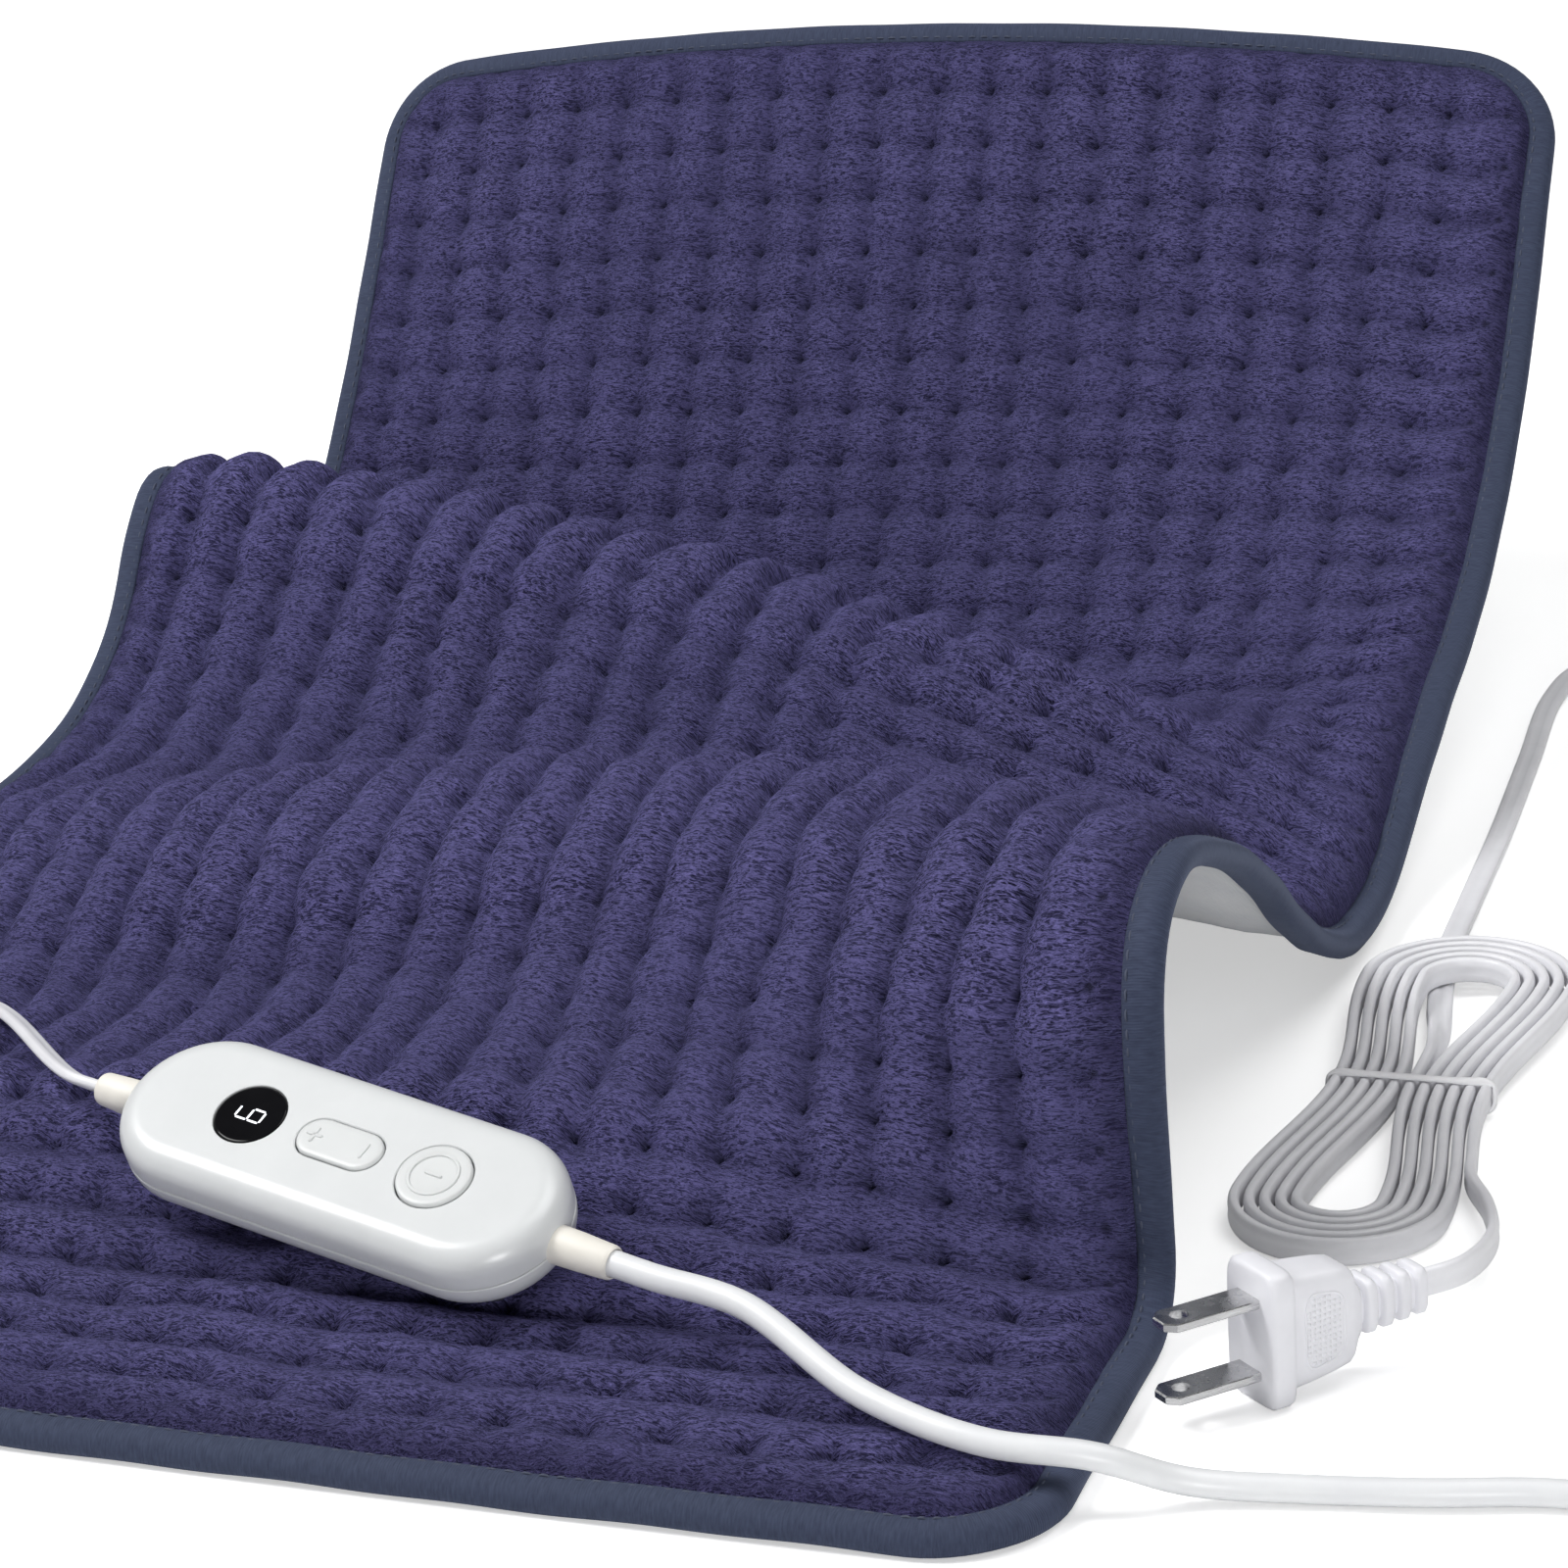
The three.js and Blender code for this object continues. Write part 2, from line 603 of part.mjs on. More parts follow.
const heaterPath = roundedPath(heaterCorners, HEATER_BEND_RADIUS);
const heaterRings = heaterPath.map(([u, s], k) => {
  const before = heaterPath[Math.max(0, k - 1)];
  const after = heaterPath[Math.min(heaterPath.length - 1, k + 1)];
  const along = new THREE.Vector2(after[0] - before[0], after[1] - before[1]).normalize();
  return Array.from({ length: HEATER_SIDES }, (_, side) => {
    const angle = 2 * Math.PI * side / HEATER_SIDES;
    const out = Math.cos(angle) * HEATER_DIAMETER / 2;
    const height = HEATER_LOW + (1 + Math.sin(angle)) * HEATER_DIAMETER / 2;
    return onPad(u - out * along.y, s + out * along.x, height);
  });
});
addPart('heater_wire', skinRings(heaterRings, false), CREAM, 0.6);

// A flat block lying on the carrier, following its facets
function carrierBlock(u, s, length, width) {
  const rings = [-0.5, -0.25, 0, 0.25, 0.5].map((share) => [
    [-0.5, HEATER_LOW], [0.5, HEATER_LOW], [0.5, HEATER_HIGH], [-0.5, HEATER_HIGH],
  ].map(([side, height]) => onPad(u + share * length, s + side * width, height)));
  return skinRings(rings, false);
}

addPart('lead_splice', carrierBlock(SPLICE_U, SPLICE_S, SPLICE_LENGTH, SPLICE_WIDTH), HOUSING_WHITE, 0.5);
const cutoutColumn = (passColumns[1] + passColumns[2]) / 2;
const cutoutRow = (rowLines[3] + rowLines[4]) / 2 + QUILT_MARGIN;
addPart('thermal_cutout_1', carrierBlock(cutoutColumn, cutoutRow, CUTOUT_LENGTH, CUTOUT_WIDTH), BLACK, 0.5);
const farCutoutColumn = (passColumns[3] + passColumns[4]) / 2;
addPart('thermal_cutout_2', carrierBlock(farCutoutColumn, cutoutRow, CUTOUT_LENGTH, CUTOUT_WIDTH),
  BLACK, 0.5);

// Highest pad vertex near a point
const padVertices = [topCover, binding].flatMap((mesh) => {
  const at = mesh.geometry.getAttribute('position');
  return Array.from({ length: at.count }, (_, k) => new THREE.Vector3().fromBufferAttribute(at, k));
});

function padTop(x, y) {
  return padVertices.reduce((top, v) => (
    Math.hypot(v.x - x, v.y - y) < CORD_BUMP_REACH ? Math.max(top, v.z) : top), 0);
}

// Controller: tilted to the pad's slope, then lifted until its base clears the quilting
const tilt = new THREE.Matrix4().makeRotationX(THREE.MathUtils.degToRad(CONTROLLER_TILT));
const heading = new THREE.Matrix4().makeRotationZ(THREE.MathUtils.degToRad(CONTROLLER_HEADING));
const controllerTurn = tilt.clone().multiply(heading);
const backTurn = controllerTurn.clone().transpose();
const baseNormal = new THREE.Vector3(0, 0, 1).applyMatrix4(controllerTurn);
const footprint = { x: HOUSING_LENGTH / 2 + REST_GAP, y: HOUSING_WIDTH / 2 + REST_GAP };
const controllerPlan = new THREE.Vector3(CONTROLLER_X, CONTROLLER_Y, 0);
const baseHeight = padVertices.reduce((height, v) => {
  const local = v.clone().sub(controllerPlan).applyMatrix4(backTurn);
  const inside = Math.abs(local.x) < footprint.x && Math.abs(local.y) < footprint.y;
  return inside ? Math.max(height, v.clone().sub(controllerPlan).dot(baseNormal) / baseNormal.z) : height;
}, 0);
const controllerPlace = new THREE.Matrix4()
  .makeTranslation(CONTROLLER_X, CONTROLLER_Y, baseHeight + REST_GAP / baseNormal.z)
  .multiply(controllerTurn);

function addControllerPart(name, geometry, color, roughness, metalness) {
  return addPart(name, welded(geometry).applyMatrix4(controllerPlace), color, roughness, metalness);
}

// Housing shells
const CEILING = HOUSING_HEIGHT - HOUSING_WALL;
const SLEEVE_COLLAR_X = HOUSING_LENGTH / 2 - SLEEVE_COLLAR_FROM_END;
const SLEEVE_HOLE_RADIUS = SLEEVE_RADIUS + REST_GAP;
const SCREW_HOLE_RADIUS = SCREW_SHANK_RADIUS + SCREW_HOLE_GAP;
const SCREW_HEAD_HOLE_RADIUS = SCREW_HEAD_RADIUS + SCREW_HOLE_GAP;
const SCREW_HEAD_SEAT = SCREW_HEAD_SUNK + SCREW_HEAD_HEIGHT + REST_GAP;
const SCREW_TIP = SCREW_HEAD_SUNK + SCREW_LENGTH;
const LOWER_RIM = PARTING_HEIGHT - REST_GAP / 2;
const UPPER_RIM = PARTING_HEIGHT + REST_GAP / 2;
const JOIN = 0.4;

const housing = toSolid(roundedPill(HOUSING_LENGTH, HOUSING_WIDTH, 0, HOUSING_HEIGHT, HOUSING_ROUND));
const cavity = toSolid(roundedPill(HOUSING_LENGTH - 2 * HOUSING_WALL, HOUSING_WIDTH - 2 * HOUSING_WALL,
  HOUSING_WALL, CEILING, CAVITY_ROUND));
const halfSpace = (lowZ, highZ) => toSolid(
  box(2 * HOUSING_LENGTH, 2 * HOUSING_WIDTH, highZ - lowZ, 0, 0, lowZ));
const shell = housing.subtract(cavity);
const SCREW_X = HOUSING_LENGTH / 2 - SCREW_FROM_END;
const STANDOFF_X = BOARD_LENGTH / 2 - STANDOFF_FROM_END;
const screwPlaces = [[-SCREW_X, -SCREW_Y], [SCREW_X, -SCREW_Y], [SCREW_X, SCREW_Y], [-SCREW_X, SCREW_Y]];
const sleeveHoles = [-1, 1].map((end) => {
  const reach = [end * (SLEEVE_COLLAR_X + JOIN), end * HOUSING_LENGTH];
  const [lowX, highX] = [Math.min(...reach), Math.max(...reach)];
  return toSolid(rodAlongX(SLEEVE_HOLE_RADIUS, lowX, highX, 0, PARTING_HEIGHT, 20));
});

let lowerShell = shell.intersect(halfSpace(-1, LOWER_RIM));
for (const [x, y] of screwPlaces) {
  const boss = post(SCREW_HEAD_HOLE_RADIUS + BOSS_WALL, HOUSING_WALL - JOIN, LOWER_RIM, x, y);
  lowerShell = lowerShell.add(toSolid(boss));
}
for (const [x, y] of screwPlaces) {
  lowerShell = lowerShell.subtract(toSolid(post(SCREW_HOLE_RADIUS, -1, HOUSING_HEIGHT, x, y)));
  lowerShell = lowerShell.subtract(toSolid(post(SCREW_HEAD_HOLE_RADIUS, -1, SCREW_HEAD_SEAT, x, y)));
}
for (const [x, y] of [[-1, -1], [1, -1], [1, 1], [-1, 1]]) {
  const standoff = post(STANDOFF_RADIUS, HOUSING_WALL - JOIN, BOARD_UNDERSIDE - REST_GAP,
    x * STANDOFF_X, y * STANDOFF_Y, 12);
  lowerShell = lowerShell.add(toSolid(standoff));
}
for (const hole of sleeveHoles) lowerShell = lowerShell.subtract(hole);
addControllerPart('lower_shell', toGeometry(lowerShell), HOUSING_WHITE, 0.4);

const OPENING_WIDTH = ROCKER_WIDTH + 2 * KEY_GAP;
const LUG_INNER = OPENING_WIDTH / 2 + PIN_LUG_FROM_OPENING;
const LUG_LOW = ROCKER_PIN_HEIGHT - ROCKER_PIN_RADIUS - PIN_GAP - BOSS_WALL;
const PIN_HOLE_RADIUS = ROCKER_PIN_RADIUS + PIN_GAP;

let upperShell = shell.intersect(halfSpace(UPPER_RIM, HOUSING_HEIGHT + 1));
for (const [x, y] of screwPlaces) {
  upperShell = upperShell.add(toSolid(post(SCREW_HOLE_RADIUS + BOSS_WALL, UPPER_RIM, CEILING + JOIN, x, y)));
}
for (const [x, y] of screwPlaces) {
  upperShell = upperShell.subtract(toSolid(post(SCREW_HOLE_RADIUS, 0, SCREW_TIP + REST_GAP, x, y)));
}
for (const side of [-1, 1]) {
  const lug = box(PIN_LUG_LENGTH, PIN_LUG_THICKNESS, CEILING + JOIN - LUG_LOW,
    ROCKER_X, side * (LUG_INNER + PIN_LUG_THICKNESS / 2), LUG_LOW);
  upperShell = upperShell.add(toSolid(lug));
}
const keyHoles = [
  post(WINDOW_RADIUS + REST_GAP, PARTING_HEIGHT, 2 * HOUSING_HEIGHT, WINDOW_X, 0, 24),
  post(POWER_RADIUS + KEY_GAP, PARTING_HEIGHT, 2 * HOUSING_HEIGHT, POWER_X, 0, 24),
  pillPrism(ROCKER_LENGTH + 2 * KEY_GAP, OPENING_WIDTH, PARTING_HEIGHT, 2 * HOUSING_HEIGHT, ROCKER_X),
  rodAlongY(PIN_HOLE_RADIUS, -HOUSING_WIDTH / 4, HOUSING_WIDTH / 4, ROCKER_X, ROCKER_PIN_HEIGHT, 12),
];
for (const hole of keyHoles) upperShell = upperShell.subtract(toSolid(hole));
for (const hole of sleeveHoles) upperShell = upperShell.subtract(hole);
addControllerPart('upper_shell', toGeometry(upperShell), HOUSING_WHITE, 0.4);

screwPlaces.forEach(([x, y], k) => {
  const headTop = SCREW_HEAD_SUNK + SCREW_HEAD_HEIGHT;
  const profile = [[0, SCREW_HEAD_SUNK], [SCREW_HEAD_RADIUS, SCREW_HEAD_SUNK], [SCREW_HEAD_RADIUS, headTop],
    [SCREW_SHANK_RADIUS, headTop], [SCREW_SHANK_RADIUS, SCREW_TIP - 1], [0, SCREW_TIP]];
  addControllerPart(`housing_screw_${k + 1}`, turned(profile, x, y, 12), STEEL, 0.35, 0.9);
});

// Board and the parts on it
const BOARD_TOP = BOARD_UNDERSIDE + BOARD_THICKNESS;
const ON_BOARD = BOARD_TOP + REST_GAP;
const SWITCH_TOP = ON_BOARD + SWITCH_HEIGHT;
const STEM_TOP = SWITCH_TOP + SWITCH_STEM_PROUD;
const KEY_FOOT = STEM_TOP + REST_GAP;
const FLANGE_TOP = CEILING - REST_GAP;
const FLANGE_LOW = FLANGE_TOP - FLANGE_THICKNESS;
const FILM_CAPACITOR_X = BOARD_LENGTH / 2 - FILM_CAPACITOR_FROM_END;

addControllerPart('circuit_board', box(BOARD_LENGTH, BOARD_WIDTH, BOARD_THICKNESS, 0, 0, BOARD_UNDERSIDE),
  BOARD_GREEN, 0.5);
addControllerPart('display_module', box(DISPLAY_LENGTH, DISPLAY_WIDTH, FLANGE_LOW - REST_GAP - ON_BOARD,
  WINDOW_X, 0, ON_BOARD), BLACK, 0.5);
addControllerPart('microcontroller', box(CHIP_LENGTH, CHIP_WIDTH, CHIP_HEIGHT, ROCKER_X, CHIP_Y, ON_BOARD),
  BLACK, 0.6);
addControllerPart('fuse', rodAlongX(FUSE_RADIUS, FUSE_X - FUSE_LENGTH / 2, FUSE_X + FUSE_LENGTH / 2,
  FUSE_Y, ON_BOARD + FUSE_RADIUS, 12), CREAM, 0.3);
addControllerPart('film_capacitor', box(FILM_CAPACITOR_LENGTH, FILM_CAPACITOR_WIDTH, FILM_CAPACITOR_HEIGHT,
  FILM_CAPACITOR_X, FILM_CAPACITOR_Y, ON_BOARD), BRASS, 0.5);
addControllerPart('triac', box(TRIAC_LENGTH, TRIAC_WIDTH, TRIAC_HEIGHT, FILM_CAPACITOR_X, TRIAC_Y, ON_BOARD),
  BLACK, 0.5);
addControllerPart('electrolytic_capacitor', post(ELECTROLYTIC_RADIUS, ON_BOARD,
  ON_BOARD + ELECTROLYTIC_HEIGHT, ELECTROLYTIC_X, ELECTROLYTIC_Y), SLATE, 0.4);

function addSwitch(name, x) {
  const bore = post(SWITCH_STEM_RADIUS + KEY_GAP, SWITCH_TOP - SWITCH_BORE_DEPTH, SWITCH_TOP + 1, x, 0, 12);
  const body = toSolid(box(SWITCH_SIDE, SWITCH_SIDE, SWITCH_HEIGHT, x, 0, ON_BOARD)).subtract(toSolid(bore));
  addControllerPart(`${name}_switch`, toGeometry(body), BLACK, 0.5);
  const stem = post(SWITCH_STEM_RADIUS, SWITCH_TOP - SWITCH_STEM_DEPTH, STEM_TOP, x, 0, 12);
  addControllerPart(`${name}_switch_stem`, stem, CREAM, 0.5);
}

addSwitch('plus', ROCKER_X - ROCKER_FOOT_X);
addSwitch('minus', ROCKER_X + ROCKER_FOOT_X);
addSwitch('power', POWER_X);

// Window and keys
const WINDOW_TOP = HOUSING_HEIGHT - WINDOW_BELOW_TOP;
const POWER_TOP = HOUSING_HEIGHT + POWER_PROUD;
const ROCKER_TOP = HOUSING_HEIGHT + ROCKER_PROUD;
const ROCKER_UNDER = ROCKER_TOP - ROCKER_PLATE;
const KEY_CHAMFER = 0.5;

addControllerPart('display_window', turned([[0, FLANGE_LOW], [WINDOW_RADIUS + FLANGE_WIDTH, FLANGE_LOW],
  [WINDOW_RADIUS + FLANGE_WIDTH, FLANGE_TOP], [WINDOW_RADIUS, FLANGE_TOP], [WINDOW_RADIUS, WINDOW_TOP],
  [0, WINDOW_TOP]], WINDOW_X, 0, 24), BLACK, 0.08);
addControllerPart('power_button', turned([[0, KEY_FOOT], [POWER_STEM_RADIUS, KEY_FOOT],
  [POWER_STEM_RADIUS, FLANGE_LOW], [POWER_RADIUS + FLANGE_WIDTH, FLANGE_LOW],
  [POWER_RADIUS + FLANGE_WIDTH, FLANGE_TOP], [POWER_RADIUS, FLANGE_TOP],
  [POWER_RADIUS, POWER_TOP - KEY_CHAMFER], [POWER_RADIUS - KEY_CHAMFER, POWER_TOP], [0, POWER_TOP]],
POWER_X, 0, 24), HOUSING_WHITE, 0.4);

let rocker = toSolid(pillPrism(ROCKER_LENGTH, ROCKER_WIDTH, ROCKER_UNDER, ROCKER_TOP, ROCKER_X));
rocker = rocker.add(toSolid(box(ROCKER_RIB_LENGTH, ROCKER_RIB_WIDTH, ROCKER_UNDER + JOIN - LUG_LOW,
  ROCKER_X, 0, LUG_LOW)));
for (const side of [-1, 1]) {
  const footX = ROCKER_X + side * ROCKER_FOOT_X;
  const foot = post(ROCKER_FOOT_RADIUS, KEY_FOOT, ROCKER_UNDER + JOIN, footX, 0, 12);
  rocker = rocker.add(toSolid(foot));
}
rocker = rocker.subtract(toSolid(rodAlongY(PIN_HOLE_RADIUS, -ROCKER_WIDTH, ROCKER_WIDTH,
  ROCKER_X, ROCKER_PIN_HEIGHT, 12)));
addControllerPart('level_rocker', toGeometry(rocker), HOUSING_WHITE, 0.4);
const PIN_REACH = LUG_INNER + PIN_LUG_THICKNESS;
addControllerPart('rocker_pin', rodAlongY(ROCKER_PIN_RADIUS, -PIN_REACH, PIN_REACH,
  ROCKER_X, ROCKER_PIN_HEIGHT, 12), STEEL, 0.3, 0.9);

// Sleeves, clamped between the shells by their collars
function sleeve(showing) {
  const collarX = SLEEVE_COLLAR_X - SLEEVE_COLLAR_LENGTH;
  const endX = HOUSING_LENGTH / 2 + showing;
  const profile = [[0, collarX], [SLEEVE_COLLAR_RADIUS, collarX], [SLEEVE_COLLAR_RADIUS, SLEEVE_COLLAR_X],
    [SLEEVE_RADIUS, SLEEVE_COLLAR_X], [SLEEVE_RADIUS, HOUSING_LENGTH / 2 + REST_GAP],
    [SLEEVE_END_RADIUS, endX], [0, endX]];
  return turned(profile, 0, 0, 16).rotateY(Math.PI / 2).translate(0, 0, PARTING_HEIGHT);
}

addControllerPart('lead_sleeve', sleeve(LEAD_SLEEVE_SHOWING), CREAM, 0.5);
addControllerPart('mains_sleeve', sleeve(MAINS_SLEEVE_SHOWING).rotateZ(Math.PI), CREAM, 0.5);

// Where a cord leaves a sleeve, and the point a little further out along the sleeve's axis
function sleeveExit(end, showing, beyond) {
  const x = end * (HOUSING_LENGTH / 2 + showing + REST_GAP + beyond);
  return new THREE.Vector3(x, 0, PARTING_HEIGHT).applyMatrix4(controllerPlace);
}

// A cord laid through plan points, over the pad, or on the floor with a rise where it comes down
function padPoints(plan, halfHeight) {
  return plan.map(([x, y]) => new THREE.Vector3(x, y, padTop(x, y) + halfHeight + REST_GAP));
}

function floorPoints(plan, halfHeight) {
  return plan.map(([x, y, rise = CORD_FLOOR_GAP]) => new THREE.Vector3(x, y, halfHeight + rise));
}

function roundShape(radius, sides) {
  const corners = Array.from({ length: sides }, (_, k) => new THREE.Vector2(
    radius * Math.cos(2 * Math.PI * k / sides), radius * Math.sin(2 * Math.PI * k / sides)));
  return new THREE.Shape(corners);
}

// Flat twin cord section: x is its thickness, y its width
function twinShape(thickness, width) {
  const [t, w] = [thickness / 2, width / 2];
  return new THREE.Shape([[t, -w * 0.6], [t, w * 0.6], [t * 0.5, w], [-t * 0.5, w], [-t, w * 0.6],
    [-t, -w * 0.6], [-t * 0.5, -w], [t * 0.5, -w]].map(([x, y]) => new THREE.Vector2(x, y)));
}

function cord(points, shape, steps) {
  const path = new THREE.CatmullRomCurve3(points, false, 'centripetal');
  return new THREE.ExtrudeGeometry(shape, { steps, bevelEnabled: false, extrudePath: path });
}

// Pad lead, from the controller over the pad's near right corner, round on the floor to the gland
const glandHeight = Math.max(GLAND_HEIGHT, GLAND_END_DIAMETER) / 2;
const glandSeat = foldPoint(GLAND_U, 0);
const glandSections = [[0, GLAND_WIDTH, GLAND_HEIGHT], [0.25, GLAND_WIDTH, GLAND_HEIGHT],
  [0.45, GLAND_END_DIAMETER * 1.2, GLAND_END_DIAMETER], [1, GLAND_END_DIAMETER, GLAND_END_DIAMETER]];
const glandRings = glandSections.map(([share, width, height]) => {
  const y = glandSeat.y - REST_GAP - share * GLAND_LENGTH;
  return Array.from({ length: GLAND_SIDES }, (_, k) => {
    const angle = 2 * Math.PI * k / GLAND_SIDES;
    return new THREE.Vector3(glandSeat.x + Math.cos(angle) * width / 2, y,
      glandHeight + Math.sin(angle) * height / 2);
  });
});
addPart('pad_lead_gland', skinRings(glandRings, false), CREAM, 0.5);

const LEAD_OVER_PAD = [[107, 49], [135, 31], [157, 24.5], [174, 27]];
const LEAD_ON_FLOOR = [[187, 34, 1.6], [203, 38.5], [222, 42.5], [243, 48], [268, 46], [287, 28], [286, 0],
  [264, -30], [222, -48], [150, -60], [60, -70], [-20, -73], [-56, -66], [-76, -49]];
const leadEnd = new THREE.Vector3(glandSeat.x, glandSeat.y - 2 * REST_GAP - GLAND_LENGTH, glandHeight);
const leadPoints = [
  sleeveExit(1, LEAD_SLEEVE_SHOWING, 0), sleeveExit(1, LEAD_SLEEVE_SHOWING, 8),
  ...padPoints(LEAD_OVER_PAD, LEAD_DIAMETER / 2), ...floorPoints(LEAD_ON_FLOOR, LEAD_DIAMETER / 2),
  leadEnd.clone().setY(leadEnd.y - 8), leadEnd,
];
addPart('pad_lead', cord(leadPoints, roundShape(LEAD_DIAMETER / 2, 8), 64), HOUSING_WHITE, 0.45);

// Hank: one flat cord wound on edge in a long loop, drawn in at its waist
const HANK_PITCH = CORD_THICKNESS + HANK_STRAND_GAP;
const HANK_STRAIGHT = (HANK_LENGTH - HANK_WIDTH) / 2;
const hankTurn = new THREE.Matrix4().makeRotationZ(THREE.MathUtils.degToRad(HANK_HEADING));
const hankPlace = new THREE.Matrix4().makeTranslation(HANK_X, HANK_Y, 0).multiply(hankTurn);
const hankHeight = (y) => CORD_WIDTH / 2 + HANK_FAR_LIFT * (y / HANK_LENGTH + 0.5);

function waistX(half, y) {
  return half - HANK_WAIST_DRAW * Math.cos(Math.PI / 2 * y / HANK_STRAIGHT) ** 2;
}

// One loop takes 24 steps: half a straight, far bend, a straight, near bend and half a straight
function hankPoint(step) {
  const half = HANK_WIDTH / 2 - CORD_THICKNESS / 2 - HANK_PITCH * step / 24;
  const k = ((step % 24) + 24) % 24;
  let [x, y] = [0, 0];
  if (k <= 2 || k >= 22) {
    y = (k <= 2 ? k : k - 24) * HANK_STRAIGHT / 2;
    x = waistX(half, y);
  } else if (k < 10) {
    x = half * Math.cos(Math.PI * (k - 2) / 8);
    y = HANK_STRAIGHT + half * Math.sin(Math.PI * (k - 2) / 8);
  } else if (k <= 14) {
    y = HANK_STRAIGHT * (12 - k) / 2;
    x = -waistX(half, y);
  } else {
    x = -half * Math.cos(Math.PI * (k - 14) / 8);
    y = -HANK_STRAIGHT - half * Math.sin(Math.PI * (k - 14) / 8);
  }
  return new THREE.Vector3(x, y, hankHeight(y));
}

const hankPath = [];
for (let step = 0; step <= 24 * HANK_TURNS; step++) hankPath.push(hankPoint(step));
const outerStrand = (y) => new THREE.Vector3(
  waistX(HANK_WIDTH / 2 - CORD_THICKNESS / 2, y), y, hankHeight(y));
const hankExit = hankPath.at(-1).clone().setY(HANK_TAIL_Y).setZ(hankHeight(HANK_TAIL_Y));
hankPath.unshift(outerStrand(HANK_ENTRY_Y - CORD_THICKNESS), outerStrand(HANK_ENTRY_Y));
hankPath.push(hankExit, hankExit.clone().setY(HANK_TAIL_Y + CORD_THICKNESS));
const hankSection = [[0.5, -0.35], [0.5, 0.35], [0, 0.5], [-0.5, 0.35], [-0.5, -0.35], [0, -0.5]];
const hankRings = hankPath.map((p, k) => {
  const before = hankPath[Math.max(0, k - 1)];
  const after = hankPath[Math.min(hankPath.length - 1, k + 1)];
  const side = new THREE.Vector3(after.y - before.y, before.x - after.x, 0).normalize();
  return hankSection.map(([out, up]) => p.clone().addScaledVector(side, out * CORD_THICKNESS)
    .setZ(p.z + up * CORD_WIDTH));
});
addPart('mains_cord_hank', skinRings(hankRings, false).applyMatrix4(hankPlace), HOUSING_WHITE, 0.5);

// Least distance between strands, measured from each point to the strand one turn on
let leastHankGap = Infinity;
hankPath.forEach((p, k) => hankPath.forEach((q, m) => {
  if (m < k + 12 || m + 1 >= hankPath.length) return;
  const nearest = new THREE.Line3(q, hankPath[m + 1]).closestPointToPoint(p, true, new THREE.Vector3());
  leastHankGap = Math.min(leastHankGap, nearest.distanceTo(p) - CORD_THICKNESS);
}));
console.log(`least gap between hank strands ${leastHankGap.toFixed(2)} mm`);
if (leastHankGap < LEAST_HANK_GAP) throw new Error('hank strands too close');

// Tie round the hank's waist
const tieLeft = -waistX(HANK_WIDTH / 2 - HANK_PITCH / 2, 0) - REST_GAP;
const tieRight = waistX(HANK_WIDTH / 2, 0) + REST_GAP;
const tieReach = CORD_WIDTH / 2 + REST_GAP;
const tieShape = new THREE.Shape([[tieLeft - TIE_THICKNESS, -tieReach - TIE_THICKNESS],
  [tieRight + TIE_THICKNESS, -tieReach - TIE_THICKNESS], [tieRight + TIE_THICKNESS, tieReach + TIE_THICKNESS],
  [tieLeft - TIE_THICKNESS, tieReach + TIE_THICKNESS]].map(([x, y]) => new THREE.Vector2(x, y)));
tieShape.holes.push(new THREE.Path([[tieLeft, -tieReach], [tieLeft, tieReach], [tieRight, tieReach],
  [tieRight, -tieReach]].map(([x, y]) => new THREE.Vector2(x, y))));
const tie = new THREE.ExtrudeGeometry(tieShape, { depth: TIE_WIDTH, bevelEnabled: false })
  .translate(0, 0, -TIE_WIDTH / 2).rotateX(Math.PI / 2).translate(0, 0, hankHeight(0));
addPart('hank_tie', tie.applyMatrix4(hankPlace), HOUSING_WHITE, 0.5);

// Mains cord: from the controller over the pad's left edge, round its near side and under the hank's far bend
const MAINS_OVER_PAD = [[-79, 132], [-104, 148], [-117, 156], [-130, 163], [-144, 171]];
const MAINS_ON_FLOOR = [[-164, 184, 1.6], [-177, 187], [-187, 176], [-190, 152], [-187, 100], [-183, 30],
  [-171, -30], [-143, -70], [-90, -87], [-20, -90], [60, -87], [150, -77], [222, -65], [275, -42],
  [299, 12], [290, 75], [263, 140], [238, 220], [213, 320], [200, 400], [192, 440], [178, 468],
  [160, 474], [149.5, 455], [148, 432], [153, 390], [159, 340], [163, 300], [166, 272], [169, 255],
  [172.5, 240, 0.35], [176, 226, 1.3]];
const tailStart = new THREE.Vector3(hankExit.x, HANK_TAIL_Y + CORD_THICKNESS + REST_GAP, hankExit.z);
const tailNext = new THREE.Vector3(hankExit.x, HANK_TAIL_Y + 6, hankExit.z);
const mainsPoints = [
  sleeveExit(-1, MAINS_SLEEVE_SHOWING, 0), sleeveExit(-1, MAINS_SLEEVE_SHOWING, 6),
  ...padPoints(MAINS_OVER_PAD, CORD_THICKNESS / 2), ...floorPoints(MAINS_ON_FLOOR, CORD_THICKNESS / 2),
  tailNext.applyMatrix4(hankPlace), tailStart.applyMatrix4(hankPlace),
];
addPart('mains_cord', cord(mainsPoints, twinShape(CORD_THICKNESS, CORD_WIDTH), 100), HOUSING_WHITE, 0.5);

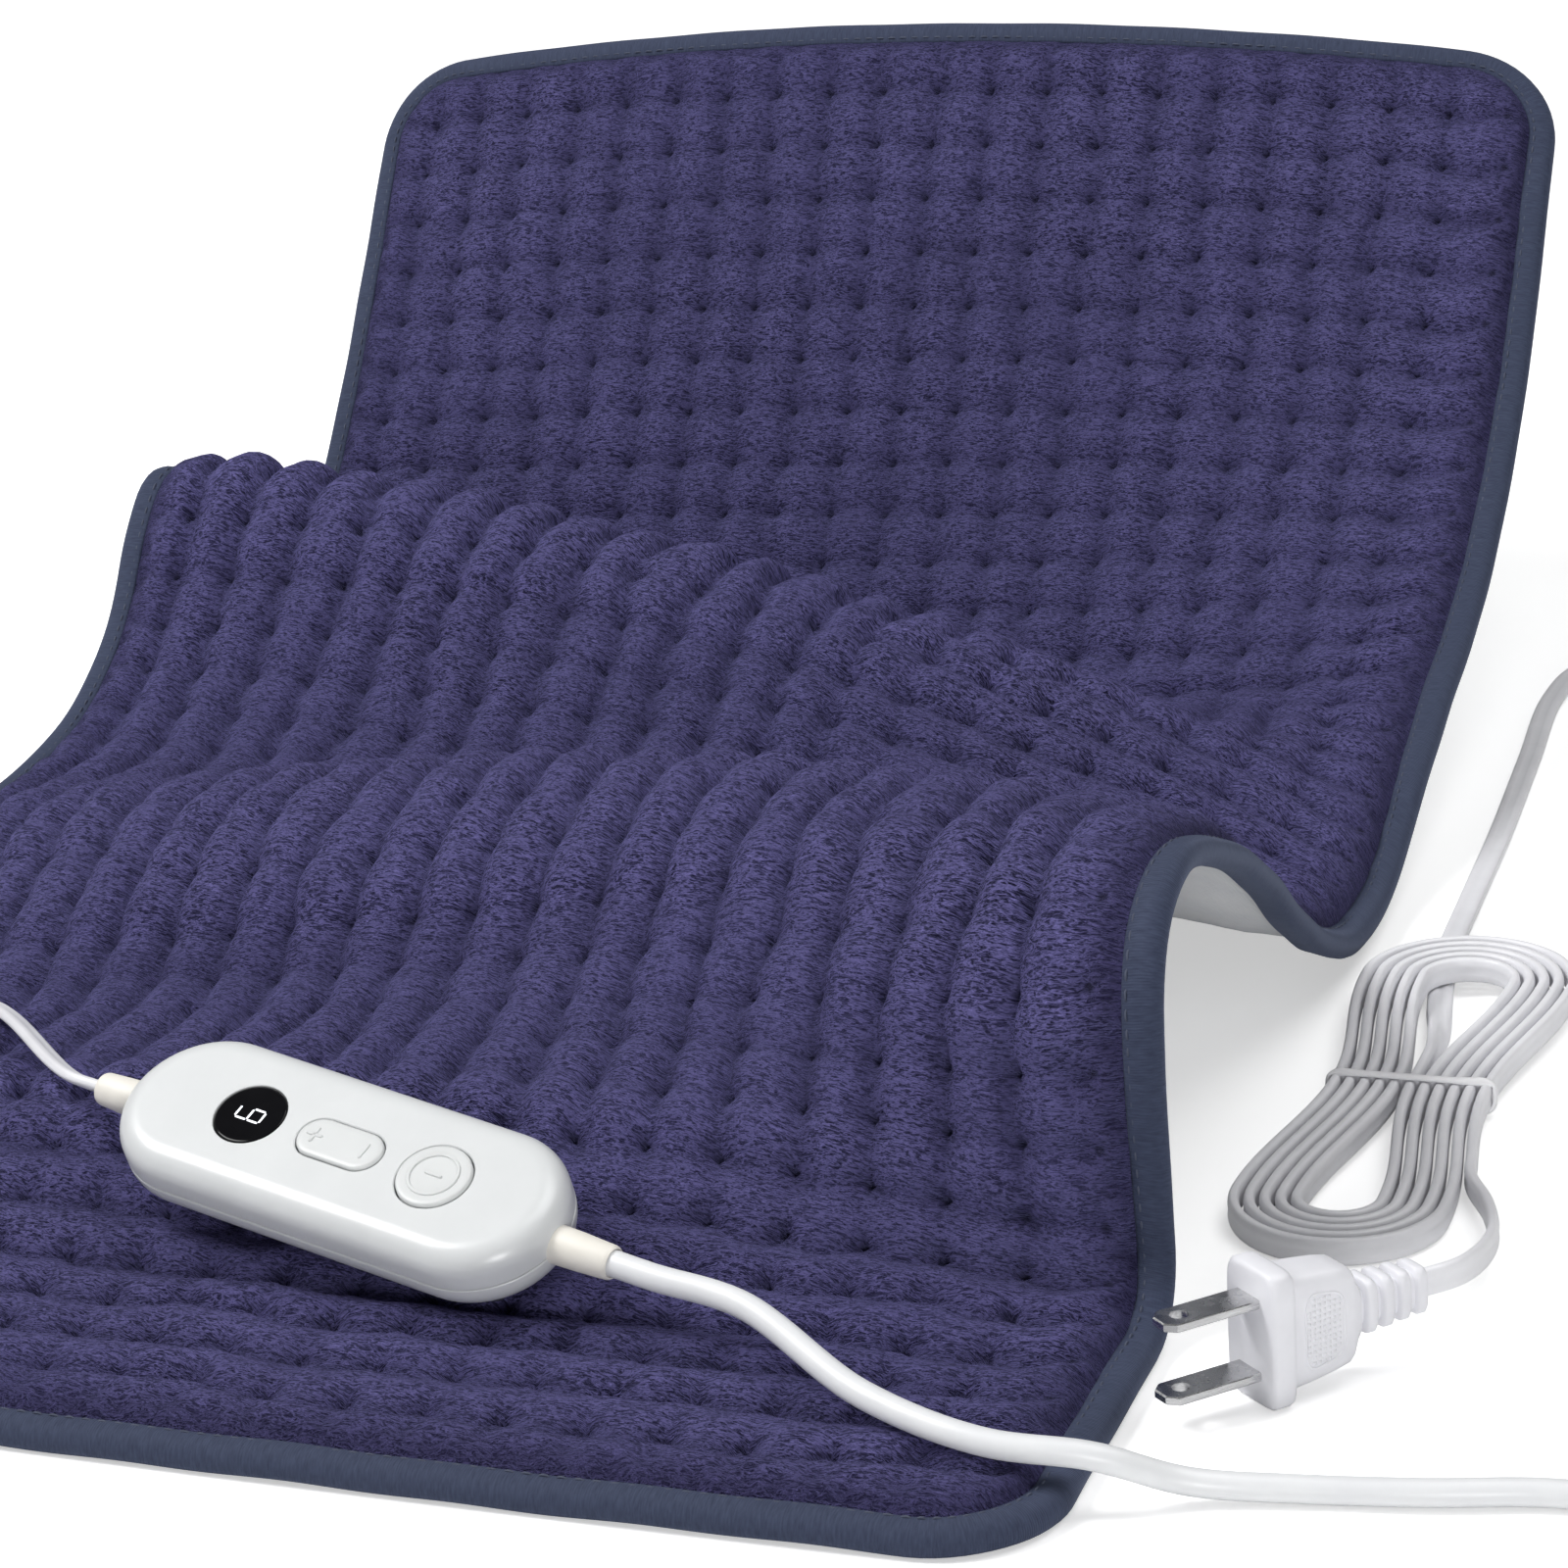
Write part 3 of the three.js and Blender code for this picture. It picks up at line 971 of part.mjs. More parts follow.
// Plug body, from its face back to the last rib
const plugTurn = new THREE.Matrix4().makeRotationZ(THREE.MathUtils.degToRad(PLUG_HEADING));
const plugPlace = new THREE.Matrix4().makeTranslation(PLUG_X, PLUG_Y, PLUG_FACE_HEIGHT / 2)
  .multiply(plugTurn);
const flangeEnd = PLUG_FLANGE_LENGTH;
const bodyEnd = flangeEnd + PLUG_BODY_LENGTH;
const plugSections = [[0, PLUG_FACE_HEIGHT - 2, PLUG_FACE_DEPTH - 2], [1, PLUG_FACE_HEIGHT, PLUG_FACE_DEPTH],
  [flangeEnd - 1, PLUG_FACE_HEIGHT, PLUG_FACE_DEPTH], [flangeEnd + 1, PLUG_BODY_HEIGHT, PLUG_BODY_DEPTH],
  [bodyEnd, PLUG_TAIL_HEIGHT, PLUG_TAIL_DEPTH]];
for (let rib = 0; rib < PLUG_RIBS; rib++) {
  const start = bodyEnd + 0.4 + rib * PLUG_RIB_PITCH;
  plugSections.push([start, PLUG_GROOVE_HEIGHT, PLUG_GROOVE_DEPTH],
    [start + PLUG_RIB_PITCH * 0.4, PLUG_GROOVE_HEIGHT, PLUG_GROOVE_DEPTH],
    [start + PLUG_RIB_PITCH * 0.5, PLUG_RIB_HEIGHT, PLUG_RIB_DEPTH],
    [start + PLUG_RIB_PITCH * 0.9, PLUG_RIB_HEIGHT, PLUG_RIB_DEPTH]);
}
const squared = (value) => Math.sign(value) * Math.sqrt(Math.abs(value));
const plugRings = plugSections.map(([x, height, depth]) => Array.from({ length: PLUG_SIDES }, (_, k) => {
  const angle = 2 * Math.PI * k / PLUG_SIDES;
  return new THREE.Vector3(x, squared(Math.cos(angle)) * depth / 2, squared(Math.sin(angle)) * height / 2);
}));
addPart('plug_body', skinRings(plugRings, false).applyMatrix4(plugPlace), HOUSING_WHITE, 0.5);

const bladeHalf = BLADE_WIDTH / 2;
const bladeEnd = -REST_GAP - BLADE_LENGTH;
const bladeShape = new THREE.Shape([[-REST_GAP, -bladeHalf], [-REST_GAP, bladeHalf],
  [bladeEnd + BLADE_TIP, bladeHalf], [bladeEnd, bladeHalf - BLADE_TIP], [bladeEnd, BLADE_TIP - bladeHalf],
  [bladeEnd + BLADE_TIP, -bladeHalf]].map(([x, y]) => new THREE.Vector2(x, y)));
const bladeHoleX = bladeEnd + BLADE_HOLE_FROM_TIP;
bladeShape.holes.push(new THREE.Path().absarc(bladeHoleX, 0, BLADE_HOLE_RADIUS, 0, 2 * Math.PI));
[-1, 1].forEach((side, k) => {
  const settings = { depth: BLADE_THICKNESS, bevelEnabled: false, curveSegments: 12 };
  const blade = new THREE.ExtrudeGeometry(bladeShape, settings)
    .translate(0, 0, side * BLADE_SPACING / 2 - BLADE_THICKNESS / 2);
  addPart(`plug_blade_${k + 1}`, blade.applyMatrix4(plugPlace), STEEL, 0.25, 0.95);
});

// Short cord from the plug up to the hank's outer strand
const PLUG_CORD_ROUTE = [[206, 146, 4], [212, 124, 8]];
const plugEnd = plugSections.at(-1)[0] + REST_GAP;
const entryEnd = hankPath[0].y - REST_GAP;
const plugCordPoints = [
  outerStrand(entryEnd).applyMatrix4(hankPlace), outerStrand(entryEnd - 8).applyMatrix4(hankPlace),
  ...PLUG_CORD_ROUTE.map((place) => new THREE.Vector3(...place)),
  new THREE.Vector3(plugEnd + 8, 0, 0).applyMatrix4(plugPlace),
  new THREE.Vector3(plugEnd, 0, 0).applyMatrix4(plugPlace),
];
addPart('plug_cord', cord(plugCordPoints, twinShape(CORD_WIDTH, CORD_THICKNESS), 12), HOUSING_WHITE, 0.5);

// The origin lies under the middle of the pad and controller
const CORD_PARTS = ['pad_lead', 'mains_cord', 'mains_cord_hank', 'hank_tie', 'plug_body', 'plug_blade_1',
  'plug_blade_2', 'plug_cord'];
const bounds = new THREE.Box3();
const ownParts = object.children.filter((mesh) => !CORD_PARTS.includes(mesh.name));
ownParts.forEach((mesh) => bounds.expandByObject(mesh));
const middle = bounds.getCenter(new THREE.Vector3());
object.children.forEach((mesh) => mesh.geometry.translate(-middle.x, -middle.y, 0));
console.log(`origin moved by ${(-middle.x).toFixed(2)}, ${(-middle.y).toFixed(2)} mm`);
console.log(`controller base height ${(baseHeight + REST_GAP / baseNormal.z).toFixed(2)} mm`);

export default object;
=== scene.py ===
"""Heating pad with controller: its cords, quilted pad, controller and plug, with light and camera."""

import math

import bmesh
import bpy
import numpy as np
from mathutils import Matrix, Vector


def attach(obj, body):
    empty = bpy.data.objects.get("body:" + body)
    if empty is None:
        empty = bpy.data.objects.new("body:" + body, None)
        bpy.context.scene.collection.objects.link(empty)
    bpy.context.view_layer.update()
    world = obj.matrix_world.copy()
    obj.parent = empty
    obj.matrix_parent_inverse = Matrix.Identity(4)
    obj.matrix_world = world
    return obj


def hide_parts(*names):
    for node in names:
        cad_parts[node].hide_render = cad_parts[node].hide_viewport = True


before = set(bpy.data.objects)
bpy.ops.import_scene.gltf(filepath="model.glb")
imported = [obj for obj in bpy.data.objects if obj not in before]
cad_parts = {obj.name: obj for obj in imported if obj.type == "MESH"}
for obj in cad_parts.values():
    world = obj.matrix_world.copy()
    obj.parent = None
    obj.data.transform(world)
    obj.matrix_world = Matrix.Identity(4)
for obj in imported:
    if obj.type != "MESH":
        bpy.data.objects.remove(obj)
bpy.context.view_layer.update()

bl_info = {
    "name": "Heating pad with controller",
    "version": (1, 0, 0),
    "blender": (4, 5, 0),
    "location": "3D View > Sidebar > Heating pad",
    "description": "Builds a quilted heating pad with its controller, cords and plug",
    "category": "Object",
}

MM = 0.001

# Where the part source's own axes start, in the row frame
ORIGIN = np.array((0.00030, -0.24604, 0.0))

# Folds of the pad as (distance from the near edge, slope in degrees) down its left, middle and right
LEFT_FOLDS = (
    (0.0, 0), (0.060, 3), (0.110, -2), (0.150, -3), (0.200, 17), (0.240, 2), (0.270, 5), (0.305, 26),
    (0.335, 55), (0.352, 40), (0.372, -62), (0.414, -52), (0.444, -2), (0.458, 28), (0.478, 40),
    (0.520, 48), (0.610, 54),
)
MIDDLE_FOLDS = (
    (0.0, 0), (0.050, 0), (0.061, 22), (0.092, 24), (0.110, 3), (0.128, 1), (0.146, 14), (0.165, 43),
    (0.195, 10), (0.215, -16), (0.235, -42), (0.270, -10), (0.300, 25), (0.335, 27), (0.355, 0), (0.372, -50),
    (0.408, -56), (0.424, 2), (0.434, 34), (0.468, 43), (0.540, 56), (0.610, 54),
)
RIGHT_FOLDS = (
    (0.0, 0), (0.075, 0), (0.098, 85), (0.135, 82), (0.155, 28), (0.175, -18), (0.210, -25), (0.250, -36),
    (0.300, -25), (0.325, -8), (0.370, 20), (0.440, 14), (0.510, 37), (0.560, 48), (0.610, 46),
)
FAR_EDGE_SHIFT = -0.040
RIGHT_SIDE_SETBACK = 0.005
EDGE_LIFT = 0.00145

# Routes of the cords in the part source's axes: over the pad in plan, then on the floor, some with a rise
FLOOR_GAP = 0.0003
PLUSH_GAP = 0.0018
LEAD_OVER_PAD = ((0.107, 0.049), (0.135, 0.031), (0.157, 0.0245), (0.174, 0.027))
LEAD_ON_FLOOR = (
    (0.187, 0.034, 0.0016), (0.203, 0.0385), (0.222, 0.0425), (0.243, 0.048),
    (0.268, 0.046), (0.287, 0.028), (0.286, 0.0), (0.264, -0.030),
    (0.222, -0.048), (0.150, -0.060), (0.060, -0.070), (-0.020, -0.073),
    (-0.056, -0.066), (-0.076, -0.049),
)
MAINS_OVER_PAD = ((-0.079, 0.132), (-0.104, 0.148), (-0.117, 0.156), (-0.130, 0.163), (-0.144, 0.171))
MAINS_ON_FLOOR = (
    (-0.164, 0.184, 0.0030), (-0.177, 0.187), (-0.187, 0.176), (-0.19, 0.152),
    (-0.187, 0.1), (-0.183, 0.03), (-0.171, -0.03), (-0.143, -0.07),
    (-0.09, -0.087), (-0.02, -0.09), (0.06, -0.087), (0.15, -0.077),
    (0.222, -0.065), (0.275, -0.042), (0.299, 0.012), (0.29, 0.075),
    (0.263, 0.14), (0.238, 0.22), (0.213, 0.32), (0.2, 0.4),
    (0.192, 0.44), (0.178, 0.468), (0.16, 0.474), (0.1495, 0.455),
    (0.148, 0.432), (0.153, 0.390),
    (0.159, 0.340), (0.163, 0.300), (0.166, 0.272), (0.169, 0.255),
    (0.1725, 0.240, 0.00035), (0.176, 0.226, 0.0013),
)
PLUG_CORD_ROUTE = ((0.206, 0.146, 0.004), (0.212, 0.124, 0.008))


# Settings


def length_setting(name, description, default):
    return bpy.props.FloatProperty(name=name, description=description, default=default, unit="LENGTH")


def angle_setting(name, description, degrees):
    return bpy.props.FloatProperty(
        name=name, description=description, default=math.radians(degrees), subtype="ANGLE")


def place_setting(name, description, default):
    return bpy.props.FloatVectorProperty(
        name=name, description=description, default=default, subtype="TRANSLATION")


def power_setting(name, description, default):
    return bpy.props.FloatProperty(name=name, description=description, default=default, unit="POWER")


def count_setting(name, description, default):
    return bpy.props.IntProperty(name=name, description=description, default=default)


class PadSettings(bpy.types.PropertyGroup):
    """Sizes of the pad"""

    width: length_setting("Width", "Width of the pad along the cloth", 0.305)
    length: length_setting("Length", "Length of the pad along the cloth", 0.610)
    corner: length_setting("Corner", "Radius of the pad's corners", 0.022)
    columns: count_setting("Columns", "Quilting points across the pad", 20)
    rows: count_setting("Rows", "Quilting points along the pad", 43)
    left_margin: length_setting("Left margin", "From the left edge to the first column", 0.0165)
    right_margin: length_setting("Right margin", "From the right edge to the last column", 0.0245)
    end_margin: length_setting("End margin", "From either end to the first row", 0.018)
    weld_height: length_setting("Quilting height", "Height of the plush at a quilting point", 0.0048)
    pillow_rise: length_setting("Pillow rise", "Rise of the plush between quilting points", 0.0046)
    binding_width: length_setting("Binding width", "Width of the edge binding", 0.0058)


class ControllerSettings(bpy.types.PropertyGroup):
    """Sizes of the controller"""

    length: length_setting("Length", "Length of the housing", 0.090)
    width: length_setting("Width", "Width of the housing", 0.032)
    height: length_setting("Height", "Height of the housing", 0.0142)
    round: length_setting("Edge round", "Rounding of the housing's edges", 0.0046)
    place: place_setting(
        "Place", "Middle of the housing's base in the row frame", (0.02850, -0.17724, 0.01883))
    tilt: angle_setting("Tilt", "Tilt of the housing with the pad's slope", 25)
    heading: angle_setting("Heading", "Turn of the housing on the pad", -13.5)


class CordSettings(bpy.types.PropertyGroup):
    """Sizes of the cords"""

    lead_diameter: length_setting("Lead diameter", "Diameter of the round pad lead", 0.0046)
    cord_width: length_setting("Cord width", "Width of the flat twin mains cord", 0.005)
    cord_thickness: length_setting("Cord thickness", "Thickness of the flat twin mains cord", 0.0022)
    tail_length: length_setting("Mains cord length", "Mains cord from the controller to the plug", 3.28)
    lead_length: length_setting("Pad lead length", "Pad lead from the controller to the pad", 0.67)


class StageSettings(bpy.types.PropertyGroup):
    """Camera and light"""

    camera_place: place_setting(
        "Camera place", "Camera position in the row frame", (0.41111, -0.89231, 0.3639))
    yaw: angle_setting("Yaw", "Turn of the view from the pad's length", -22.72)
    pitch: angle_setting("Pitch", "How far the view looks down", 18.78)
    roll: angle_setting("Roll", "Turn of the picture about the view", -3.16)
    lens: bpy.props.FloatProperty(
        name="Lens", description="Focal length on a 36 mm sensor, in millimetres", default=117.67)
    key_power: power_setting("Key power", "Power of the light at the upper left", 17.5)
    top_power: power_setting("Top power", "Power of the overhead light", 9.0)
    side_power: power_setting("Side power", "Power of the low light at the front right", 7.0)


SETTINGS = (
    ("heating_pad", PadSettings),
    ("heating_controller", ControllerSettings),
    ("heating_cords", CordSettings),
    ("heating_stage", StageSettings),
)


# Number helpers


def turns(count):
    """Evenly spaced angles of a full turn"""
    return np.linspace(0, 2 * math.pi, count, endpoint=False)


def bulge(values, power):
    """Values between -1 and 1 pushed outwards, as on a rounded square"""
    return np.sign(values) * np.abs(values) ** power


def unit(vectors):
    return vectors / np.linalg.norm(vectors, axis=-1, keepdims=True)


def distances(points):
    """How far along a line each of its points lies"""
    return np.concatenate([[0], np.cumsum(np.linalg.norm(np.diff(points, axis=0), axis=1))])


def smooth_step(low, high, value):
    share = np.clip((value - low) / (high - low), 0, 1)
    return share * share * (3 - 2 * share)


# Mesh helpers


def linked(name, data):
    """An object in the scene from its mesh, light or camera"""
    made = bpy.data.objects.new(name, data)
    bpy.context.scene.collection.objects.link(made)
    return made


def new_object(name, points, faces):
    """A smooth object from points and faces, with its faces turned outwards"""
    mesh = bpy.data.meshes.new(name)
    mesh.from_pydata([tuple(p) for p in points], [], faces)
    mesh.validate()
    made = bmesh.new()
    made.from_mesh(mesh)
    bmesh.ops.recalc_face_normals(made, faces=made.faces)
    made.to_mesh(mesh)
    made.free()
    mesh.shade_smooth()
    return linked(name, mesh)


def add_piece(piece, slot, *nodes, body="pad", material=None):
    """Give a piece the material of its slot, or another, put it under its body and hide the CAD nodes it
    stands for
    """
    piece.data.materials.clear()
    piece.data.materials.append(MATERIALS[material or slot])
    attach(piece, body)
    if nodes:
        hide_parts(*nodes)
    return piece


def ring_faces(rings, sides, closed_rings=False):
    """Faces of a skin through rings of points that are listed one ring after another"""
    faces = []
    spans = rings if closed_rings else rings - 1
    for r in range(spans):
        after = (r + 1) % rings
        for k in range(sides):
            turn = (k + 1) % sides
            faces.append((r * sides + k, r * sides + turn, after * sides + turn, after * sides + k))
    if not closed_rings:
        faces.append(tuple(range(sides)))
        faces.append(tuple((rings - 1) * sides + k for k in range(sides)))
    return faces


def skin(name, rings, closed_rings=False):
    """A smooth closed skin through rings of points"""
    points = np.concatenate([np.asarray(ring) for ring in rings])
    return new_object(name, points, ring_faces(len(rings), len(rings[0]), closed_rings))


def sharpen(piece, degrees=35):
    piece.data.set_sharp_from_angle(angle=math.radians(degrees))
    return piece


def put(piece, matrix):
    """Move a piece's points by a matrix"""
    piece.data.transform(matrix)
    return piece


def joined(name, pieces):
    """One mesh object from several"""
    made = bmesh.new()
    for piece in pieces:
        made.from_mesh(piece.data)
        data = piece.data
        bpy.data.objects.remove(piece)
        bpy.data.meshes.remove(data)
    mesh = bpy.data.meshes.new(name)
    made.to_mesh(mesh)
    made.free()
    return linked(name, mesh)


def cut(piece, cutters):
    """Take the cutters out of a piece"""
    for cutter in cutters:
        change = piece.modifiers.new("cut", "BOOLEAN")
        change.operation = "DIFFERENCE"
        change.solver = "EXACT"
        change.object = cutter
    bpy.context.view_layer.update()
    shown = piece.evaluated_get(bpy.context.evaluated_depsgraph_get())
    mesh = bpy.data.meshes.new_from_object(shown)
    piece.modifiers.clear()
    piece.data = mesh
    for cutter in cutters:
        bpy.data.objects.remove(cutter)
    return piece


def pill_ring(length, width, inset, z, x=0.0, steps=20):
    """Points round a pill outline drawn in by an inset"""
    radius = width / 2 - inset
    straight = (length - width) / 2
    turn = np.linspace(-math.pi / 2, math.pi / 2, steps + 1)
    right = np.stack([x + straight + radius * np.cos(turn), radius * np.sin(turn)], 1)
    left = np.stack([x - straight - radius * np.cos(turn), -radius * np.sin(turn)], 1)
    plan = np.concatenate([right, left])
    return np.concatenate([plan, np.full((len(plan), 1), z)], 1)


def lathe(name, profile, sides=64):
    """A solid turned about z from (radius, height) pairs"""
    angle = turns(sides)
    rings = [np.stack([r * np.cos(angle), r * np.sin(angle), np.full(sides, z)], 1) for r, z in profile]
    return skin(name, rings)


def pill_solid(name, length, width, profile, x=0.0, steps=20):
    """A pill-shaped solid from (inset, height) pairs"""
    return skin(name, [pill_ring(length, width, inset, z, x, steps) for inset, z in profile])


def rounded(inset, height, radius, up=True, steps=8):
    """(inset, height) pairs of a quarter round that ends at a given inset and height"""
    pairs = []
    for k in range(steps + 1):
        angle = math.pi / 2 * k / steps
        rise = radius * (1 - math.sin(angle))
        pairs.append((inset - radius * math.cos(angle), height - rise if up else height + rise))
    return pairs


# Paths


def through(points, spacing):
    """Evenly spaced points of the centripetal curve through a list of points"""
    given = np.asarray(points, float)
    first = 2 * given[0] - given[1]
    last = 2 * given[-1] - given[-2]
    whole = np.concatenate([[first], given, [last]])
    fine = []
    for k in range(1, len(whole) - 2):
        p0, p1, p2, p3 = whole[k - 1:k + 3]
        d0, d1, d2 = (max(np.linalg.norm(b - a), 1e-6) ** 0.5 for a, b in ((p0, p1), (p1, p2), (p2, p3)))
        t1 = ((p1 - p0) / d0 - (p2 - p0) / (d0 + d1) + (p2 - p1) / d1) * d1
        t2 = ((p2 - p1) / d1 - (p3 - p1) / (d1 + d2) + (p3 - p2) / d2) * d1
        t = np.linspace(0, 1, 60, endpoint=False)[:, None]
        fine.append(p1 + t1 * t + (3 * (p2 - p1) - 2 * t1 - t2) * t ** 2 + (2 * (p1 - p2) + t1 + t2) * t ** 3)
    return evenly(np.concatenate(fine + [given[-1:]]), spacing)


def evenly(points, spacing):
    """The same line with points at an even spacing"""
    far = distances(points)
    count = max(2, int(round(far[-1] / spacing)) + 1)
    place = np.linspace(0, far[-1], count)
    return np.stack([np.interp(place, far, points[:, axis]) for axis in range(3)], 1)


def sweep(name, path, section, turn=None):
    """A tube along a path; the section's first axis lies level, or is turned about the path by an angle"""
    along = unit(np.gradient(path, axis=0))
    level = unit(np.cross(along, (0, 0, 1)))
    up = np.cross(level, along)
    angle = np.zeros(len(path)) if turn is None else turn
    wide = level * np.cos(angle)[:, None] + up * np.sin(angle)[:, None]
    thick = up * np.cos(angle)[:, None] - level * np.sin(angle)[:, None]
    rings = path[:, None] + wide[:, None] * section[None, :, :1] + thick[:, None] * section[None, :, 1:]
    tube = skin(name, list(rings))
    around = np.arange(len(section)) / len(section)
    write_uv(tube, "run", np.stack([np.repeat(distances(path), len(section)), np.tile(around, len(path))], 1))
    return tube


def write_uv(piece, name, uv):
    """A coordinate pair for each point of a mesh, as a UV map"""
    mesh = piece.data
    corner = np.empty(len(mesh.loops), dtype=np.int32)
    mesh.loops.foreach_get("vertex_index", corner)
    layer = mesh.uv_layers.new(name=name)
    layer.uv.foreach_set("vector", np.asarray(uv, np.float32)[corner].ravel())


def circle_section(radius, sides):
    angle = turns(sides)
    return np.stack([radius * np.cos(angle), radius * np.sin(angle)], 1)


def twin_section(width, thickness, sides=32):
    """Two round cores side by side in one jacket, with a groove between them"""
    angle = turns(sides)
    x = bulge(np.cos(angle), 0.75) * width / 2
    groove = 1 - 0.26 * np.exp(-(x / (0.11 * width)) ** 2)
    return np.stack([x, bulge(np.sin(angle), 0.62) * groove * thickness / 2], 1)


# Pad surface


def folded_run(folds, length):
    """(y, z) of the folded underside at every millimetre along one line of the pad"""
    steps = int(round(length / MM))
    place = (np.arange(steps) + 0.5) * MM
    slope = np.radians(np.interp(place, [at for at, _ in folds], [degrees for _, degrees in folds]))
    y = np.concatenate([[0], np.cumsum(np.cos(slope))]) * MM
    z = np.concatenate([[0], np.cumsum(np.sin(slope))]) * MM
    return y, z


class PadSurface:
    """Points on the folded pad from u across it, s along it and a height above its underside"""

    def __init__(self, pad):
        self.pad = pad
        self.runs = [folded_run(folds, pad.length) for folds in (LEFT_FOLDS, MIDDLE_FOLDS, RIGHT_FOLDS)]

    def fold(self, u, s):
        across = u / self.pad.width + 0.5
        share = ((1 - across) * (1 - 2 * across), 4 * across * (1 - across), across * (2 * across - 1))
        listed = np.arange(len(self.runs[0][0])) * MM
        y = sum(part * np.interp(s, listed, run[0]) for part, run in zip(share, self.runs))
        z = sum(part * np.interp(s, listed, run[1]) for part, run in zip(share, self.runs))
        y = y + share[2] * RIGHT_SIDE_SETBACK
        x = u + FAR_EDGE_SHIFT * (s / self.pad.length - 0.5)
        return np.stack([x, y, z], -1) + ORIGIN

    def normal(self, u, s, reach=0.003):
        across = self.fold(u + reach, s) - self.fold(u - reach, s)
        ahead = np.minimum(s + reach, self.pad.length)
        behind = np.maximum(s - reach, 0)
        return unit(np.cross(across, self.fold(u, ahead) - self.fold(u, behind)))

    def edge_distance(self, u, s):
        """Distance in from the rounded outline"""
        half = self.pad.width / 2
        r = self.pad.corner
        qx = np.abs(u) - half + r
        qy = np.abs(s - self.pad.length / 2) - self.pad.length / 2 + r
        outside = np.hypot(np.maximum(qx, 0), np.maximum(qy, 0))
        return -(outside + np.minimum(np.maximum(qx, qy), 0) - r)

    def point(self, u, s, height):
        base = self.fold(u, s)
        base[..., 2] = np.maximum(base[..., 2], 0)
        base[..., 2] += EDGE_LIFT * (1 - smooth_step(0.007, 0.020, self.edge_distance(u, s)))
        return base + self.normal(u, s) * np.asarray(height)[..., None]

    def rounded_place(self, u, s, short=0.0012):
        """Move a point of the full rectangle into the rounded outline, short of its edge"""
        half = self.pad.width / 2
        middle = self.pad.length / 2
        r = self.pad.corner
        u = np.clip(u, short - half, half - short)
        s = np.clip(s, short, self.pad.length - short)
        qx = np.abs(u) - half + r
        qy = np.abs(s - middle) - middle + r
        corner = (qx > 0) & (qy > 0)
        most = np.maximum(qx, qy)
        scale = np.where(corner, most / np.maximum(np.hypot(qx, qy), 1e-9), 1)
        u = np.where(corner, np.sign(u) * (half - r + qx * scale), u)
        s = np.where(corner, middle + np.sign(s - middle) * (middle - r + qy * scale), s)
        return u, s

    def outline(self, inset, count):
        """Points (u, s) evenly spaced in turn round the outline, drawn in by an inset"""
        half = self.pad.width / 2
        r = self.pad.corner
        straight_u = self.pad.width - 2 * r
        straight_s = self.pad.length - 2 * r
        arc = math.pi / 2 * r
        spans = (straight_u, arc, straight_s, arc, straight_u, arc, straight_s, arc)
        starts = np.concatenate([[0], np.cumsum(spans)])
        place = np.linspace(0, starts[-1], count, endpoint=False)
        far = self.pad.length - r
        centres = ((half - r, r), (half - r, far), (r - half, far), (r - half, r))
        found = np.empty((count, 2))
        for k in range(8):
            inside = (place >= starts[k]) & (place < starts[k + 1])
            share = (place[inside] - starts[k]) / spans[k]
            side = k // 2
            out = side * math.pi / 2 - math.pi / 2
            if k % 2:
                out = out + share * math.pi / 2
                start = np.array(centres[side])
                found[inside] = start + (r - inset) * np.stack([np.cos(out), np.sin(out)], 1)
            else:
                start = np.array(centres[side - 1])
                end = np.array(centres[side])
                normal = np.array((math.cos(out), math.sin(out)))
                found[inside] = start + share[:, None] * (end - start) + (r - inset) * normal
        return found[:, 0], found[:, 1], place


def grid_faces(columns, rows, start=0, flip=False):
    """Faces of a grid whose points are listed column by column"""
    i, j = np.meshgrid(np.arange(columns - 1), np.arange(rows - 1), indexing="ij")
    a = (start + i * rows + j).ravel()
    quads = np.stack([a, a + rows, a + rows + 1, a + 1], 1)
    return (quads[:, ::-1] if flip else quads).tolist()


def grid_rim(columns, rows):
    """Indices round the edge of a grid whose points are listed column by column"""
    near = [i * rows for i in range(columns)]
    right = [(columns - 1) * rows + j for j in range(1, rows)]
    far = [i * rows + rows - 1 for i in range(columns - 2, -1, -1)]
    left = list(range(rows - 2, 0, -1))
    return near + right + far + left


def closed_sheet(name, low, high):
    """A closed sheet between two grids of points"""
    columns, rows = low.shape[:2]
    count = columns * rows
    faces = grid_faces(columns, rows, 0, True) + grid_faces(columns, rows, count)
    rim = grid_rim(columns, rows)
    for k, a in enumerate(rim):
        b = rim[(k + 1) % len(rim)]
        faces.append((a, b, b + count, a + count))
    points = np.concatenate([low.reshape(-1, 3), high.reshape(-1, 3)])
    mesh = bpy.data.meshes.new(name)
    mesh.from_pydata(points.tolist(), [], faces)
    mesh.shade_smooth()
    return linked(name, mesh)


def quilt_lines(pad, parts):
    """Lines of the quilting grid across and along the pad, and each line's place in quilting points"""
    def lines(size, first, last, count):
        pitch = (size - first - last) / (count - 1)
        before = max(2, int(round(first / pitch * parts)))
        after = max(2, int(round(last / pitch * parts)))
        start = np.linspace(0, first, before, endpoint=False)
        middle = np.linspace(first, size - last, (count - 1) * parts + 1)
        end = np.linspace(size - last, size, after + 1)[1:]
        at = np.concatenate([start, middle, end])
        return at, (at - first) / pitch

    across, column = lines(pad.width, pad.left_margin, pad.right_margin, pad.columns)
    along, row = lines(pad.length, pad.end_margin, pad.end_margin, pad.rows)
    return across - pad.width / 2, column, along, row


# Material helpers


